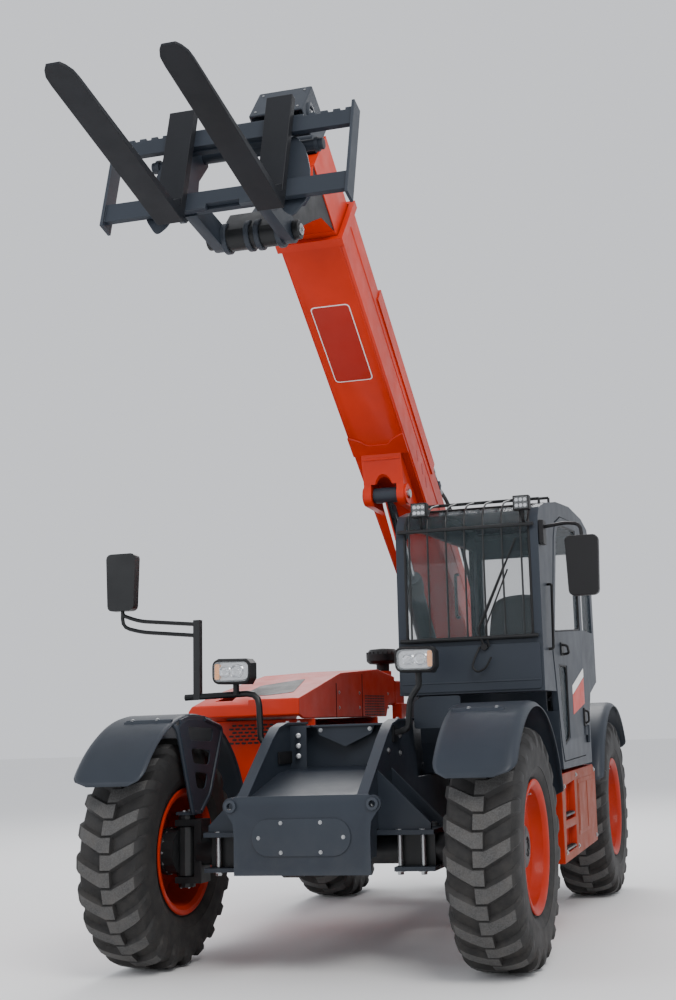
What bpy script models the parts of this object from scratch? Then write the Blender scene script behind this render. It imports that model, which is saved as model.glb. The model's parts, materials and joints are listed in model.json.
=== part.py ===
"""A four-wheel-steer telehandler with a raised telescopic boom and pallet forks.

Metres, +Z up.  The machine faces -Y and its cab is on the +X side.  It is modelled with the front axle at
Y = 0 and the ground at Z = 0, and set_origin() moves the whole machine so that its bounding box is centred
over the origin at the end.  Boom pieces are modelled with the boom level, in an empty on the boom pivot.
"""

import math

import bmesh
import bpy
from mathutils import Matrix, Vector

# ---- driving dimensions -------------------------------------------------------------------------------
GAP = 0.0003                    # between meshes that touch
BEARING_GAP = 0.0005            # between faces that turn or slide on each other
RUNNING_GAP = 0.006             # between pieces that move past each other
PIN_GAP = 0.003                 # around a pin in its bore

WHEELBASE = 3.0
TRACK = 2.0
TYRE_RADIUS = 0.63
TYRE_WIDTH = 0.385
TYRE_SIDES = 24
RIM_SEAT = 0.315                # radius of the bead seat
RIM_FLANGE = 0.347
RIM_WIDTH = 0.344
KINGPIN_X = 0.83
KINGPIN_RADIUS = 0.03
HUB_RADIUS = 0.125
RIM_DISC_X = 0.034              # inner face of the disc from the wheel's middle
YOKE_INSIDE = 0.137             # the axle's yoke above and below its middle
YOKE_OUTSIDE = 0.172
KNUCKLE_CAP = 0.196
AXLE_RADIUS = 0.08
FENDER_RADIUS = TYRE_RADIUS + 0.128
FENDER_INNER_X = 0.78
FENDER_OUTER_X = 1.205
FENDER_SHEET = 0.008
FENDER_FRONT_ANGLE = 31.0       # degrees above level where the flap ends
FENDER_REAR_ANGLE = 16.0

CHASSIS_HALF = 0.345            # outer face of a side plate
SIDE_PLATE = 0.025
CHASSIS_FRONT_Y = -0.362
CHASSIS_REAR_Y = WHEELBASE + 0.66
CHASSIS_BOTTOM = 0.56
CHASSIS_TOP = 0.97
BOOM_REST_Z = 1.31
FLANGE_THICK = 0.012
FLANGE_INNER_X = CHASSIS_HALF - 0.04
FLANGE_OUTER_X = CHASSIS_HALF + 0.02

FRONT_PLATE_HALF = CHASSIS_HALF + 0.033
FRONT_PLATE_TOP = 0.932
FRONT_PLATE_BOTTOM = 0.528
FRONT_PLATE_THICK = 0.02
EAR_X = CHASSIS_HALF + 0.05
EAR_Z = 0.884
EAR_RADIUS = 0.045

BOOM_PIVOT_Y = WHEELBASE + 0.35
BOOM_PIVOT_Z = 1.60
BOOM_ANGLE = math.radians(38.3)
BOOM_HALF_WIDTH = 0.195
BOOM_BELOW = 0.194              # underside below the pivot
BOOM_ABOVE = 0.201
BOOM_WALL = 0.02
BOOM_LENGTH = 4.237             # pivot to the collar's front
BOOM_TAIL = 0.16
PIVOT_PIN_RADIUS = 0.045
SLIDE_GAP = 0.008
INNER_WALL = 0.016
INNER_TAIL = 4.0                # inner boom's length behind the collar
NOSE_REACH = 0.46               # inner boom's length ahead of the collar
NECK_HALF = 0.160

CARRIAGE_PIN_Y = 0.48           # ahead of the collar
CARRIAGE_PIN_Z = 0.894          # below the boom pivot
CARRIAGE_PIN_RADIUS = 0.035
CARRIAGE_LEAN = math.radians(15.4)
CARRIAGE_HALF_WIDTH = 0.66
CARRIAGE_HEIGHT = 0.54
CARRIAGE_PLATE = 0.03
FORK_LENGTH = 1.14
FORK_WIDTH = 0.14
FORK_THICK = 0.045
FORK_SPREAD = 0.267
FORK_SHANK = 0.62
FORK_DROP = 0.05

LIFT_PIN_BACK = 2.337           # from the pivot along the boom
LIFT_PIN_DROP = 0.335
LIFT_BASE_Y = WHEELBASE + 0.10
LIFT_BASE_Z = 0.92
LIFT_PIN_RADIUS = 0.035
LIFT_COLLAR_X = 0.10
BARREL_RADIUS = 0.07
BARREL_LENGTH = 1.86
ROD_RADIUS = 0.045
ROD_LENGTH = 1.30
ROD_EYE_RADIUS = 0.052
ROD_EYE_HALF = 0.082

CAB_INNER_X = 0.31
CAB_OUTER_X = 1.17
CAB_FRONT_Y = 0.45
CAB_REAR_Y = 2.42
CAB_FLOOR = 0.98
CAB_WALL = 0.035
CAB_APRON_Z = 1.44              # bottom of the front panel
CAB_BELT = 1.74                 # bottom of the windscreen
DOOR_FRONT_Y = 0.74
DOOR_REAR_Y = 1.83
DOOR_GAP = 0.006
DOOR_HINGE_OUT = 0.016
DOOR_HINGE_Z = (1.16, 2.30)     # bottom of each door hinge's barrel
HINGE_LENGTH = 0.07
HINGE_RADIUS = 0.012
SCREEN_POST = 0.05
ROOF_FRAME = 0.09
ROOF_FRONT_Y = 1.10
ROOF_REAR_Y = 2.20
REAR_FRAME = 0.07
REAR_WINDOW_LOW = 1.72
REAR_WINDOW_HIGH = 2.44
GLASS = 0.006

TANK_INNER_X = 0.66
TANK_OUTER_X = 1.165

HOOD_INNER_X = -0.385
HOOD_OUTER_X = -1.12
HOOD_FRONT_Y = 0.62
HOOD_REAR_Y = 2.62
BAY_FRONT_Y = 0.86
BAY_REAR_Y = 2.16
BAY_BOTTOM = 0.60
BAY_TOP = 1.335
SHEET = 0.02
CLEANER_Y = 2.765

AXLE_Z = TYRE_RADIUS * math.cos(math.pi / TYRE_SIDES)      # tyres stand on a flat of their tread

ORANGE = (0.72, 0.085, 0.02)
SLATE = (0.055, 0.07, 0.10)
BLACK = (0.015, 0.016, 0.018)
RUBBER = (0.03, 0.03, 0.032)
STEEL = (0.62, 0.63, 0.65)
GLASS_TINT = (0.35, 0.45, 0.50)
FABRIC = (0.05, 0.05, 0.055)


# ---- scene and materials ------------------------------------------------------------------------------
def clear_scene():
    for item in list(bpy.data.objects):
        bpy.data.objects.remove(item, do_unlink=True)


def material(name, colour, roughness, metallic=0.0):
    made = bpy.data.materials.new(name)
    made.use_nodes = True
    shader = made.node_tree.nodes["Principled BSDF"]
    shader.inputs["Base Color"].default_value = (*colour, 1.0)
    shader.inputs["Roughness"].default_value = roughness
    shader.inputs["Metallic"].default_value = metallic
    return made


# ---- shapes: each function returns a closed mesh ----------------------------------------------------
def mesh_of(bm):
    bmesh.ops.recalc_face_normals(bm, faces=bm.faces)
    mesh = bpy.data.meshes.new("shape")
    bm.to_mesh(mesh)
    bm.free()
    return mesh


def block(x, y, z):
    """A box from three (low, high) pairs."""
    bm = bmesh.new()
    bmesh.ops.create_cube(bm, size=1.0)
    for vert in bm.verts:
        vert.co = Vector([(low + high) / 2 + c * (high - low) for (low, high), c in zip((x, y, z), vert.co)])
    return mesh_of(bm)


def slab(outline, axis, low, high):
    """An outline extruded along an axis: (y, z) points along X, (x, z) along Y, (x, y) along Z."""
    place = {
        "X": lambda u, v, w: (w, u, v),
        "Y": lambda u, v, w: (u, w, v),
        "Z": lambda u, v, w: (u, v, w),
    }[axis]
    bm = bmesh.new()
    near = [bm.verts.new(place(u, v, low)) for u, v in outline]
    far = [bm.verts.new(place(u, v, high)) for u, v in outline]
    bm.faces.new(near)
    bm.faces.new(far)
    count = len(outline)
    for i in range(count):
        j = (i + 1) % count
        bm.faces.new((near[i], near[j], far[j], far[i]))
    return mesh_of(bm)


def turned(profile, sides, phase=0.5):
    """A closed profile of (x, radius) points turned about X.  Points on the axis become single vertices."""
    bm = bmesh.new()
    rings = []
    for x, radius in profile:
        if radius == 0:
            rings.append([bm.verts.new((x, 0, 0))])
            continue
        angles = [2 * math.pi * (i + phase) / sides for i in range(sides)]
        rings.append([bm.verts.new((x, radius * math.sin(a), radius * math.cos(a))) for a in angles])
    for first, second in zip(rings, rings[1:] + rings[:1]):
        for i in range(sides):
            j = (i + 1) % sides
            if len(first) == 1 and len(second) == 1:
                break
            if len(first) == 1:
                bm.faces.new((first[0], second[i], second[j]))
            elif len(second) == 1:
                bm.faces.new((first[i], first[j], second[0]))
            else:
                bm.faces.new((first[i], first[j], second[j], second[i]))
    return mesh_of(bm)


def strip(path, thick):
    """The outline of a sheet of even thickness: a path and the same path set back to its right."""
    points = [Vector(p) for p in path]
    back = []
    for i, point in enumerate(points):
        before = (point - points[i - 1]).normalized() if i else None
        after = (points[i + 1] - point).normalized() if i + 1 < len(points) else None
        along = ((before or after) + (after or before)).normalized()
        normal = Vector((along.y, -along.x))
        facing = before or after
        spread = normal.dot(Vector((facing.y, -facing.x)))
        back.append(point + normal * thick / spread)
    return [tuple(p) for p in points] + [tuple(p) for p in reversed(back)]


def moved(mesh, matrix):
    mesh.transform(matrix)
    return mesh


def shift(x=0.0, y=0.0, z=0.0):
    return Matrix.Translation((x, y, z))


def bar(start, end, radius, sides=16, phase=0.5):
    """A round bar between two points."""
    start, end = Vector(start), Vector(end)
    along = end - start
    mesh = turned([(0, 0), (0, radius), (along.length, radius), (along.length, 0)], sides, phase)
    turn = Vector((1, 0, 0)).rotation_difference(along.normalized()).to_matrix().to_4x4()
    return moved(mesh, Matrix.Translation(start) @ turn)


def rounded_path(points, bend, steps=3):
    """Points of a path whose corners are rounded by quadratic curves."""
    points = [Vector(p) for p in points]
    path = [points[0]]
    for before, corner, after in zip(points, points[1:], points[2:]):
        reach = min(bend, (before - corner).length * 0.45, (after - corner).length * 0.45)
        enter = corner + (before - corner).normalized() * reach
        leave = corner + (after - corner).normalized() * reach
        for i in range(steps + 1):
            t = i / steps
            path.append(enter * (1 - t) ** 2 + corner * 2 * t * (1 - t) + leave * t ** 2)
    path.append(points[-1])
    return path


def bent_tube(points, radius, bend=0.05, sides=6):
    """A solid round tube swept along a path with rounded corners."""
    path = rounded_path(points, bend)
    bm = bmesh.new()
    rings = []
    side = None
    for i, point in enumerate(path):
        ahead = path[min(i + 1, len(path) - 1)] - path[max(i - 1, 0)]
        ahead.normalize()
        if side is None:
            side = ahead.orthogonal().normalized()
        side = (side - ahead * side.dot(ahead)).normalized()
        other = ahead.cross(side)
        angles = [2 * math.pi * k / sides for k in range(sides)]
        spokes = [side * math.cos(a) + other * math.sin(a) for a in angles]
        rings.append([bm.verts.new(point + radius * spoke) for spoke in spokes])
    for first, second in zip(rings, rings[1:]):
        for i in range(sides):
            j = (i + 1) % sides
            bm.faces.new((first[i], first[j], second[j], second[i]))
    bm.faces.new(rings[0])
    bm.faces.new(rings[-1])
    return mesh_of(bm)


def arc(centre, radius, start, end, steps):
    """Points of an arc, angles in degrees from the first axis towards the second."""
    angles = [math.radians(start + (end - start) * i / steps) for i in range(steps + 1)]
    return [(centre[0] + radius * math.cos(a), centre[1] + radius * math.sin(a)) for a in angles]


def boolean(body, operation, others):
    """Joins or cuts closed meshes with Blender's exact Boolean."""
    host = bpy.data.objects.new("host", body)
    bpy.context.collection.objects.link(host)
    helpers = [host]
    for other in others:
        helper = bpy.data.objects.new("helper", other)
        bpy.context.collection.objects.link(helper)
        helpers.append(helper)
        step = host.modifiers.new("step", "BOOLEAN")
        step.operation = operation
        step.solver = "EXACT"
        step.object = helper
    graph = bpy.context.evaluated_depsgraph_get()
    made = bpy.data.meshes.new_from_object(host.evaluated_get(graph))
    for helper in helpers:
        bpy.data.objects.remove(helper, do_unlink=True)
    made.materials.clear()
    return made


def united(body, *others):
    return boolean(body, "UNION", others)


def cut(body, *cutters):
    return boolean(body, "DIFFERENCE", cutters)


def both_sides(mesh):
    """A mesh and its mirror image across X = 0."""
    mirror = mesh.copy()
    mirror.transform(Matrix.Scale(-1, 4, (1, 0, 0)))
    mirror.flip_normals()
    return mesh, mirror


# ---- placing ------------------------------------------------------------------------------------------
def empty(name, location, parent, pitch=0.0, yaw=0.0):
    made = bpy.data.objects.new(name, None)
    bpy.context.collection.objects.link(made)
    made.location = location
    made.rotation_euler = (pitch, 0, yaw)
    made.parent = parent
    return made


def piece(name, mesh, finish, parent):
    mesh.name = name
    mesh.materials.append(finish)
    mesh.shade_smooth()
    mesh.set_sharp_from_angle(angle=math.radians(32))
    made = bpy.data.objects.new(name, mesh)
    bpy.context.collection.objects.link(made)
    made.parent = parent
    return made


# ---- wheels, axles and fenders ------------------------------------------------------------------------
def tyre_shape():
    half = TYRE_WIDTH / 2
    bead = RIM_WIDTH / 2 - 0.02
    right = [
        (bead, RIM_SEAT + GAP),
        (bead, RIM_FLANGE + 0.003),
        (half * 0.94, RIM_FLANGE + 0.04),
        (half, RIM_FLANGE + 0.13),
        (half * 0.95, TYRE_RADIUS - 0.06),
        (half * 0.58, TYRE_RADIUS),
    ]
    left = [(-x, radius) for x, radius in reversed(right)]
    return turned(right + left, TYRE_SIDES)


def rim_shape():
    """A well rim with its disc and hub cap.  +X faces outwards."""
    half = RIM_WIDTH / 2
    lip = half - 0.016
    profile = [
        (0.120, 0), (0.120, 0.100), (0.108, 0.114), (0.052, 0.114), (0.052, 0.225), (0.090,
            0.283), (lip - 0.01, 0.300),
        (half, RIM_FLANGE - 0.012), (half - 0.005, RIM_FLANGE), (lip, RIM_FLANGE), (lip, RIM_SEAT), (-lip,
            RIM_SEAT),
        (-lip, RIM_FLANGE), (-half, RIM_FLANGE), (-lip + 0.01, 0.300), (0.045, 0.290), (RIM_DISC_X,
            0.225), (RIM_DISC_X, 0),
    ]
    return turned(profile, TYRE_SIDES)


def knuckle_shape(outward):
    """The steered hub carrier, on its kingpin.  It stands in the axle's yoke."""
    hub_end = TRACK / 2 - KINGPIN_X + RIM_DISC_X - BEARING_GAP
    hub = bar((0.03, 0, 0), (hub_end, 0, 0), HUB_RADIUS, 16)
    boss = bar((0, 0, -YOKE_INSIDE + RUNNING_GAP), (0, 0, YOKE_INSIDE - RUNNING_GAP), 0.058, 12)
    pin = [(-KNUCKLE_CAP, 0), (-KNUCKLE_CAP, 0.048), (-YOKE_OUTSIDE - BEARING_GAP, 0.048),
           (-YOKE_OUTSIDE - BEARING_GAP, KINGPIN_RADIUS)]
    pin = pin + [(-x, radius) for x, radius in reversed(pin)]
    pin = moved(turned(pin, 12), Matrix.Rotation(-math.pi / 2, 4, "Y"))
    mesh = united(hub, boss, pin)
    if outward < 0:
        mesh.transform(Matrix.Rotation(math.pi, 4, "Z"))
    return mesh


def fender_shape(outward, forward):
    """A rolled mudguard with a turned-down outer edge, and its bracket to the kingpin cap."""
    inner_x = FENDER_INNER_X - KINGPIN_X
    outer_x = FENDER_OUTER_X - KINGPIN_X
    start, end = 180 - FENDER_FRONT_ANGLE, FENDER_REAR_ANGLE
    outer_arc = arc((0, 0), FENDER_RADIUS, start, end, 16)
    inner_arc = arc((0, 0), FENDER_RADIUS - FENDER_SHEET, end, start, 16)
    sheet = slab(outer_arc + inner_arc, "X", inner_x, outer_x)
    lip_arc = arc((0, 0), FENDER_RADIUS - 0.035, end, start, 16)
    lip = slab(outer_arc + lip_arc, "X", outer_x - 0.008, outer_x + 0.001)
    high, low = FENDER_RADIUS - 0.03, KNUCKLE_CAP + GAP
    rail_x = inner_x - 0.010
    post = [(-0.235, 0.690), (-0.120, high + 0.002), (0.130, high), (0.330, 0.655), (0.165, 0.30),
            (0.045, low + 0.005),
            (-0.055, low + 0.005)]
    plate = slab(post, "X", rail_x - 0.004, rail_x + 0.004)
    upper = [(-0.11, 0.65), (0.23, 0.62), (0.18, 0.51), (-0.06, 0.54)]
    lower = [(-0.03, 0.47), (0.14, 0.44), (0.10, 0.34), (0.0, 0.35)]
    windows = [slab(hole, "X", rail_x - 0.1, rail_x + 0.1) for hole in (upper, lower)]
    front_rail = bent_tube([(outer_x - 0.12, -0.25, high - 0.004), (rail_x, -0.25, high - 0.02),
                            (rail_x, -0.05, low + 0.012)], 0.014)
    rear_rail = bar((rail_x, 0.332, 0.67), (rail_x, 0.05, low + 0.012), 0.014, 6)
    foot = block((rail_x - 0.006, 0.045), (-0.05, 0.05), (low, low + 0.02))
    hanger = slab([(-0.20, 0.70), (0.20, 0.70), (0.20, 0.729), (0.10, 0.749), (-0.10, 0.749), (-0.20, 0.729)],
                  "X",
                  rail_x - 0.003, inner_x + 0.012)
    mesh = united(sheet, lip, cut(plate, *windows), hanger, front_rail, rear_rail, foot)
    if outward * forward < 0:
        mesh.transform(Matrix.Scale(-1, 4, (1, 0, 0)))
        mesh.flip_normals()
    if forward < 0:
        mesh.transform(Matrix.Rotation(math.pi, 4, "Z"))
    return mesh


def axle_shape(diff_x):
    """A beam with a yoke at each end for the kingpins, and a differential."""
    beam_end = KINGPIN_X - 0.09
    beam = bar((-beam_end, 0, 0), (beam_end, 0, 0), AXLE_RADIUS, 16)
    pads = [block((s * 0.54 - 0.10, s * 0.54 + 0.10), (-0.082, 0.082), (-0.082, 0.082)) for s in (-1, 1)]
    diff = moved(turned([(-0.10, 0), (-0.10, 0.09), (-0.05, 0.15), (0.05, 0.15), (0.10, 0.09), (0.10, 0)],
                        16), shift(diff_x))
    yokes = []
    for side in (-1, 1):
        arms = block((KINGPIN_X - 0.115, KINGPIN_X + 0.045), (-0.06, 0.06), (-YOKE_OUTSIDE, YOKE_OUTSIDE))
        room = block((KINGPIN_X - 0.072, KINGPIN_X + 0.10), (-0.08, 0.08), (-YOKE_INSIDE, YOKE_INSIDE))
        bore = bar((KINGPIN_X, 0, -0.3), (KINGPIN_X, 0, 0.3), KINGPIN_RADIUS + PIN_GAP, 12)
        yoke = cut(arms, room, bore)
        if side < 0:
            yoke.transform(Matrix.Scale(-1, 4, (1, 0, 0)))
            yoke.flip_normals()
        yokes.append(yoke)
    return united(beam, *pads, diff, *yokes)


def axle_cradle_shape():
    """Seats for the axle under the side plates: gussets above, and clamp plates on threaded rods below."""
    seat_low, seat_high = 0.0825, 0.107
    shapes = []
    for side in (-1, 1):
        near, far = sorted((side * 0.30, side * 0.655))
        shapes.append(block((near, far), (-0.16, 0.16), (seat_low, seat_high)))
        inner, outer = side * (CHASSIS_HALF + GAP), side * 0.635
        for y in (-0.13, 0.13):
            rib = [(inner, seat_high - 0.005), (outer, seat_high - 0.005), (outer, seat_high + 0.035),
                   (inner, 0.42)]
            shapes.append(slab(rib, "Y", y - 0.008, y + 0.008))
        low = sorted((side * 0.43, side * 0.655))
        shapes.append(block(low, (-0.15, 0.15), (-0.105, -0.0825)))
        for x in (side * 0.456, side * 0.585):
            for y in (-0.115, 0.115):
                shapes.append(bar((x, y, -0.118), (x, y, seat_high + 0.025), 0.011, 6))
    tie = block((-0.31, 0.31), (-0.16, 0.16), (0.1875, 0.205))
    hangers = [block(sorted((s * 0.295, s * 0.319)), (-0.16, 0.16), (seat_low, 0.205)) for s in (-1, 1)]
    return united(*shapes, tie, *hangers)


def running_gear(root, finishes):
    for forward, axle_y in ((1, 0.0), (-1, WHEELBASE)):
        end = "front" if forward > 0 else "rear"
        centre = empty(end + "_axle_centre", (0, axle_y, AXLE_Z), root)
        piece(end + "_axle", axle_shape(-0.19), finishes["black"], centre)
        piece(end + "_axle_cradle", axle_cradle_shape(), finishes["slate"], centre)
        for outward in (1, -1):
            corner = end + ("_left" if outward > 0 else "_right")
            kingpin = empty(corner + "_kingpin", (outward * KINGPIN_X, axle_y, AXLE_Z), root)
            piece(corner + "_knuckle", knuckle_shape(outward), finishes["black"], kingpin)
            piece(corner + "_fender", fender_shape(outward, forward), finishes["slate"], kingpin)
            facing = 0.0 if outward > 0 else math.pi
            hub = empty(corner + "_hub", (outward * (TRACK / 2 - KINGPIN_X), 0, 0), kingpin, yaw=facing)
            piece(corner + "_rim", rim_shape(), finishes["orange"], hub)
            piece(corner + "_tyre", tyre_shape(), finishes["rubber"], hub)


# ---- chassis ------------------------------------------------------------------------------------------
def side_plate_outline():
    """One chassis side plate in (y, z): sloped front, boom rest, low middle, and the boom tower behind."""
    arch = 0.115
    front = [
        (CHASSIS_FRONT_Y, 0.60), (-0.18, 0.60), (-0.165, AXLE_Z + arch), (0.165, AXLE_Z + arch), (0.18,
            CHASSIS_BOTTOM),
    ]
    rear = [
        (WHEELBASE - 0.18, CHASSIS_BOTTOM), (WHEELBASE - 0.165, AXLE_Z + arch), (WHEELBASE + 0.165,
            AXLE_Z + arch),
        (WHEELBASE + 0.18, CHASSIS_BOTTOM), (CHASSIS_REAR_Y, CHASSIS_BOTTOM),
    ]
    tower = [
        (CHASSIS_REAR_Y, 1.25), (CHASSIS_REAR_Y - 0.10, 1.62), *arc((BOOM_PIVOT_Y, BOOM_PIVOT_Z), 0.20, 20,
            140, 6), (WHEELBASE - 0.05, 1.42),
        (WHEELBASE - 0.25, 1.12), (WHEELBASE - 0.38, CHASSIS_TOP),
    ]
    top = [(0.66, CHASSIS_TOP), (0.56, BOOM_REST_Z), (0.22, BOOM_REST_Z), (0.10, 1.285), (0.0, 1.22),
           (CHASSIS_FRONT_Y, 0.93)]
    return front + rear + tower + top


def chassis_shape():
    """Two side plates tied by a floor, cross plates, the boom pin and the lift cylinder's pin."""
    plates = both_sides(slab(side_plate_outline(), "X", CHASSIS_HALF - SIDE_PLATE, CHASSIS_HALF))
    edge = [(CHASSIS_FRONT_Y, 0.93), (0.0, 1.22), (0.10, 1.285), (0.22, BOOM_REST_Z), (0.56, BOOM_REST_Z)]
    under = [(y, z - FLANGE_THICK) for y, z in reversed(edge)]
    lifted = [(y, z + 0.002) for y, z in edge]
    flanges = both_sides(slab(lifted + under, "X", FLANGE_INNER_X, FLANGE_OUTER_X))
    inside = CHASSIS_HALF - SIDE_PLATE + 0.002
    across = (-inside, inside)
    floors = [
        block(across, (0.22, WHEELBASE - 0.25), (CHASSIS_BOTTOM, CHASSIS_BOTTOM + 0.016)),
        block(across, (WHEELBASE + 0.27, CHASSIS_REAR_Y - 0.005), (CHASSIS_BOTTOM, CHASSIS_BOTTOM + 0.016)),
        block(across, (CHASSIS_REAR_Y - 0.025, CHASSIS_REAR_Y - 0.005), (CHASSIS_BOTTOM, 1.20)),
        block(across, (1.36, 1.38), (CHASSIS_BOTTOM, 0.86)),
        block(across, (0.52, 0.54), (CHASSIS_BOTTOM, BOOM_REST_Z - 0.02)),
    ]
    pin_x = CHASSIS_HALF + 0.012
    boom_pin = bar((-pin_x, BOOM_PIVOT_Y, BOOM_PIVOT_Z), (pin_x, BOOM_PIVOT_Y, BOOM_PIVOT_Z),
                   PIVOT_PIN_RADIUS, 16)
    collar, radius = LIFT_COLLAR_X, 0.055
    lift_pin = [(-inside, 0), (-inside, radius), (-collar, radius), (-collar, LIFT_PIN_RADIUS),
                (collar, LIFT_PIN_RADIUS),
                (collar, radius), (inside, radius), (inside, 0)]
    lift_pin = moved(turned(lift_pin, 16), shift(0, LIFT_BASE_Y, LIFT_BASE_Z))
    bearers = []
    for side in (-1, 1):
        for y in (1.05, 1.95):
            x_ends = sorted((side * (CHASSIS_HALF - 0.002),
                             side * (TANK_INNER_X - GAP if side > 0 else 1.08)))
            bearers.append(block(x_ends, (y - 0.05, y + 0.05), (BAY_BOTTOM - 0.08, BAY_BOTTOM - GAP)))
    posts = []
    for y in (1.05, 1.95):
        posts.append(block((0.50, 0.58), (y - 0.04, y + 0.04), (BAY_BOTTOM - 0.01, CAB_FLOOR - GAP)))
    return united(*plates, *flanges, *floors, boom_pin, lift_pin, *bearers, *posts)


def front_plate_shape():
    """The front cross plate, with an ear and a hole at each top corner and a stadium-shaped cover."""
    half, low, high = FRONT_PLATE_HALF, FRONT_PLATE_BOTTOM, FRONT_PLATE_TOP
    back = CHASSIS_FRONT_Y - GAP
    face = back - FRONT_PLATE_THICK
    plate = block((-half, half), (face, back), (low, high))
    ears, holes = [], []
    for side in (-1, 1):
        centre = (side * EAR_X, EAR_Z)
        start, end = (-60, 110) if side > 0 else (240, 70)
        neck = [(side * (half - 0.05), high), (side * (half - 0.05), EAR_Z - 0.16),
                (side * half, EAR_Z - 0.15),
                (side * (half + 0.006), EAR_Z - 0.09)]
        ring = arc(centre, EAR_RADIUS, start, end, 8)
        ears.append(slab(neck + ring, "Y", face, back))
        holes.append(bar((centre[0], face - 0.05, centre[1]), (centre[0], back + 0.05, centre[1]), 0.018, 12))
    cover = slab(
        arc((0.18, 0.72), 0.097, -90, 90, 8) + arc((-0.18, 0.72), 0.097, 90, 270,
                                                   8), "Y", face - 0.004, face + 0.001
    )
    return cut(united(plate, *ears, cover), *holes)


def trough_shape():
    """The floor between the front side plates, and the bulkhead with its V-shaped guard."""
    inside = CHASSIS_HALF - SIDE_PLATE - GAP
    front = CHASSIS_FRONT_Y + 0.004
    floor = slab([(front, 0.895), (0.12, 1.018), (0.44, 1.04), (0.44, 1.056), (0.12, 1.034), (front, 0.911)],
                 "X", -inside, inside)
    bulkhead = block((-inside, inside), (0.42, 0.436), (1.042, BOOM_REST_Z - 0.018))
    shelf = block((-inside, inside), (0.34, 0.5195), (BOOM_REST_Z - 0.03, BOOM_REST_Z - 0.018))
    guard = slab([(-0.18, 1.285), (-0.16, 1.235), (0, 1.165), (0.16, 1.235), (0.18, 1.285)], "Y", 0.352,
                 0.362)
    brackets = [block(sorted((s * 0.22, s * inside)), (0.30, 0.312), (1.03, 1.282)) for s in (-1,)]
    top_rib = block((-inside, -0.20), (0.30, 0.36), (BOOM_REST_Z - 0.03, BOOM_REST_Z - 0.018))
    return united(floor, bulkhead, shelf, guard, top_rib, *brackets)


def counterweight_shape():
    half = 0.52
    outline = [(-half, 0.64), (half, 0.64), (half + 0.06, 0.76), (half + 0.06, 1.10), (half, 1.20),
               (-half, 1.20),
               (-half - 0.06, 1.10), (-half - 0.06, 0.76)]
    weight = slab(outline, "Y", CHASSIS_REAR_Y + GAP, CHASSIS_REAR_Y + 0.17)
    hitch = block((-0.07, 0.07), (CHASSIS_REAR_Y + 0.165, CHASSIS_REAR_Y + 0.25), (0.66, 0.78))
    return united(weight, hitch)


def frame_pieces(root, finishes):
    piece("chassis", chassis_shape(), finishes["slate"], root)
    piece("front_plate", front_plate_shape(), finishes["slate"], root)
    piece("front_trough", trough_shape(), finishes["slate"], root)
    piece("counterweight", counterweight_shape(), finishes["slate"], root)


# ---- cab ----------------------------------------------------------------------------------------------
CAB_SIDE = [
    (CAB_FRONT_Y, CAB_APRON_Z), (CAB_FRONT_Y, 2.36), (0.465, 2.44), (0.52, 2.505), (0.70, 2.555), (1.10,
        2.62),
    (1.60, 2.66), (2.10, 2.645), (2.34, 2.60), (CAB_REAR_Y, 2.50), (CAB_REAR_Y, 1.52), (2.12, 1.44),
    (2.04, 1.30), (2.03, CAB_FLOOR), (0.93, CAB_FLOOR), (0.87, 1.16), (0.83, CAB_APRON_Z),
]


RIGHT_WINDOW = [(0.56, 1.78), (0.56, 2.36), (0.72, 2.46), (2.28, 2.50), (2.28, 1.62), (0.90, 1.62)]
QUARTER_WINDOW = [(1.90, 1.86), (1.90, 2.52), (2.30, 2.48), (2.33, 1.86)]


def inset(outline, amount):
    """An outline moved inwards by the same amount on every side."""
    count = len(outline)
    area = sum(outline[i][0] * outline[(i + 1) % count][1] - outline[(i + 1) % count][0] * outline[i][1]
               for i in range(count))
    turn = 1 if area > 0 else -1
    moved_points = []
    for i in range(count):
        before, here, after = (Vector(outline[(i + k) % count]) for k in (-1, 0, 1))
        first = (here - before).normalized()
        second = (after - here).normalized()
        normal_1 = Vector((-first.y, first.x)) * turn
        normal_2 = Vector((-second.y, second.x)) * turn
        mid = (normal_1 + normal_2).normalized()
        step = amount / max(0.3, mid.dot(normal_1))
        moved_points.append((here.x + mid.x * step, here.y + mid.y * step))
    return moved_points


def door_outline(margin=0.0):
    outline = [
        (DOOR_FRONT_Y, 1.69), (0.95, 2.38), (1.02, 2.48), (1.22, 2.54), (DOOR_REAR_Y, 2.575), (DOOR_REAR_Y,
            1.06),
        (1.78, 1.035), (0.97, 1.025), (0.90, 1.14), (0.84, 1.36), (0.79, 1.53),
    ]
    return inset(outline, margin)


def door_windows():
    upper = [(0.83, 1.79), (1.03, 2.395), (1.09, 2.455), (1.24, 2.49), (DOOR_REAR_Y - 0.05, 2.52),
             (DOOR_REAR_Y - 0.05, 1.85)]
    lower = [(0.90, 1.60), (1.20, 1.60), (1.20, 1.16), (1.02, 1.12), (0.95, 1.30)]
    return upper, lower


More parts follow.
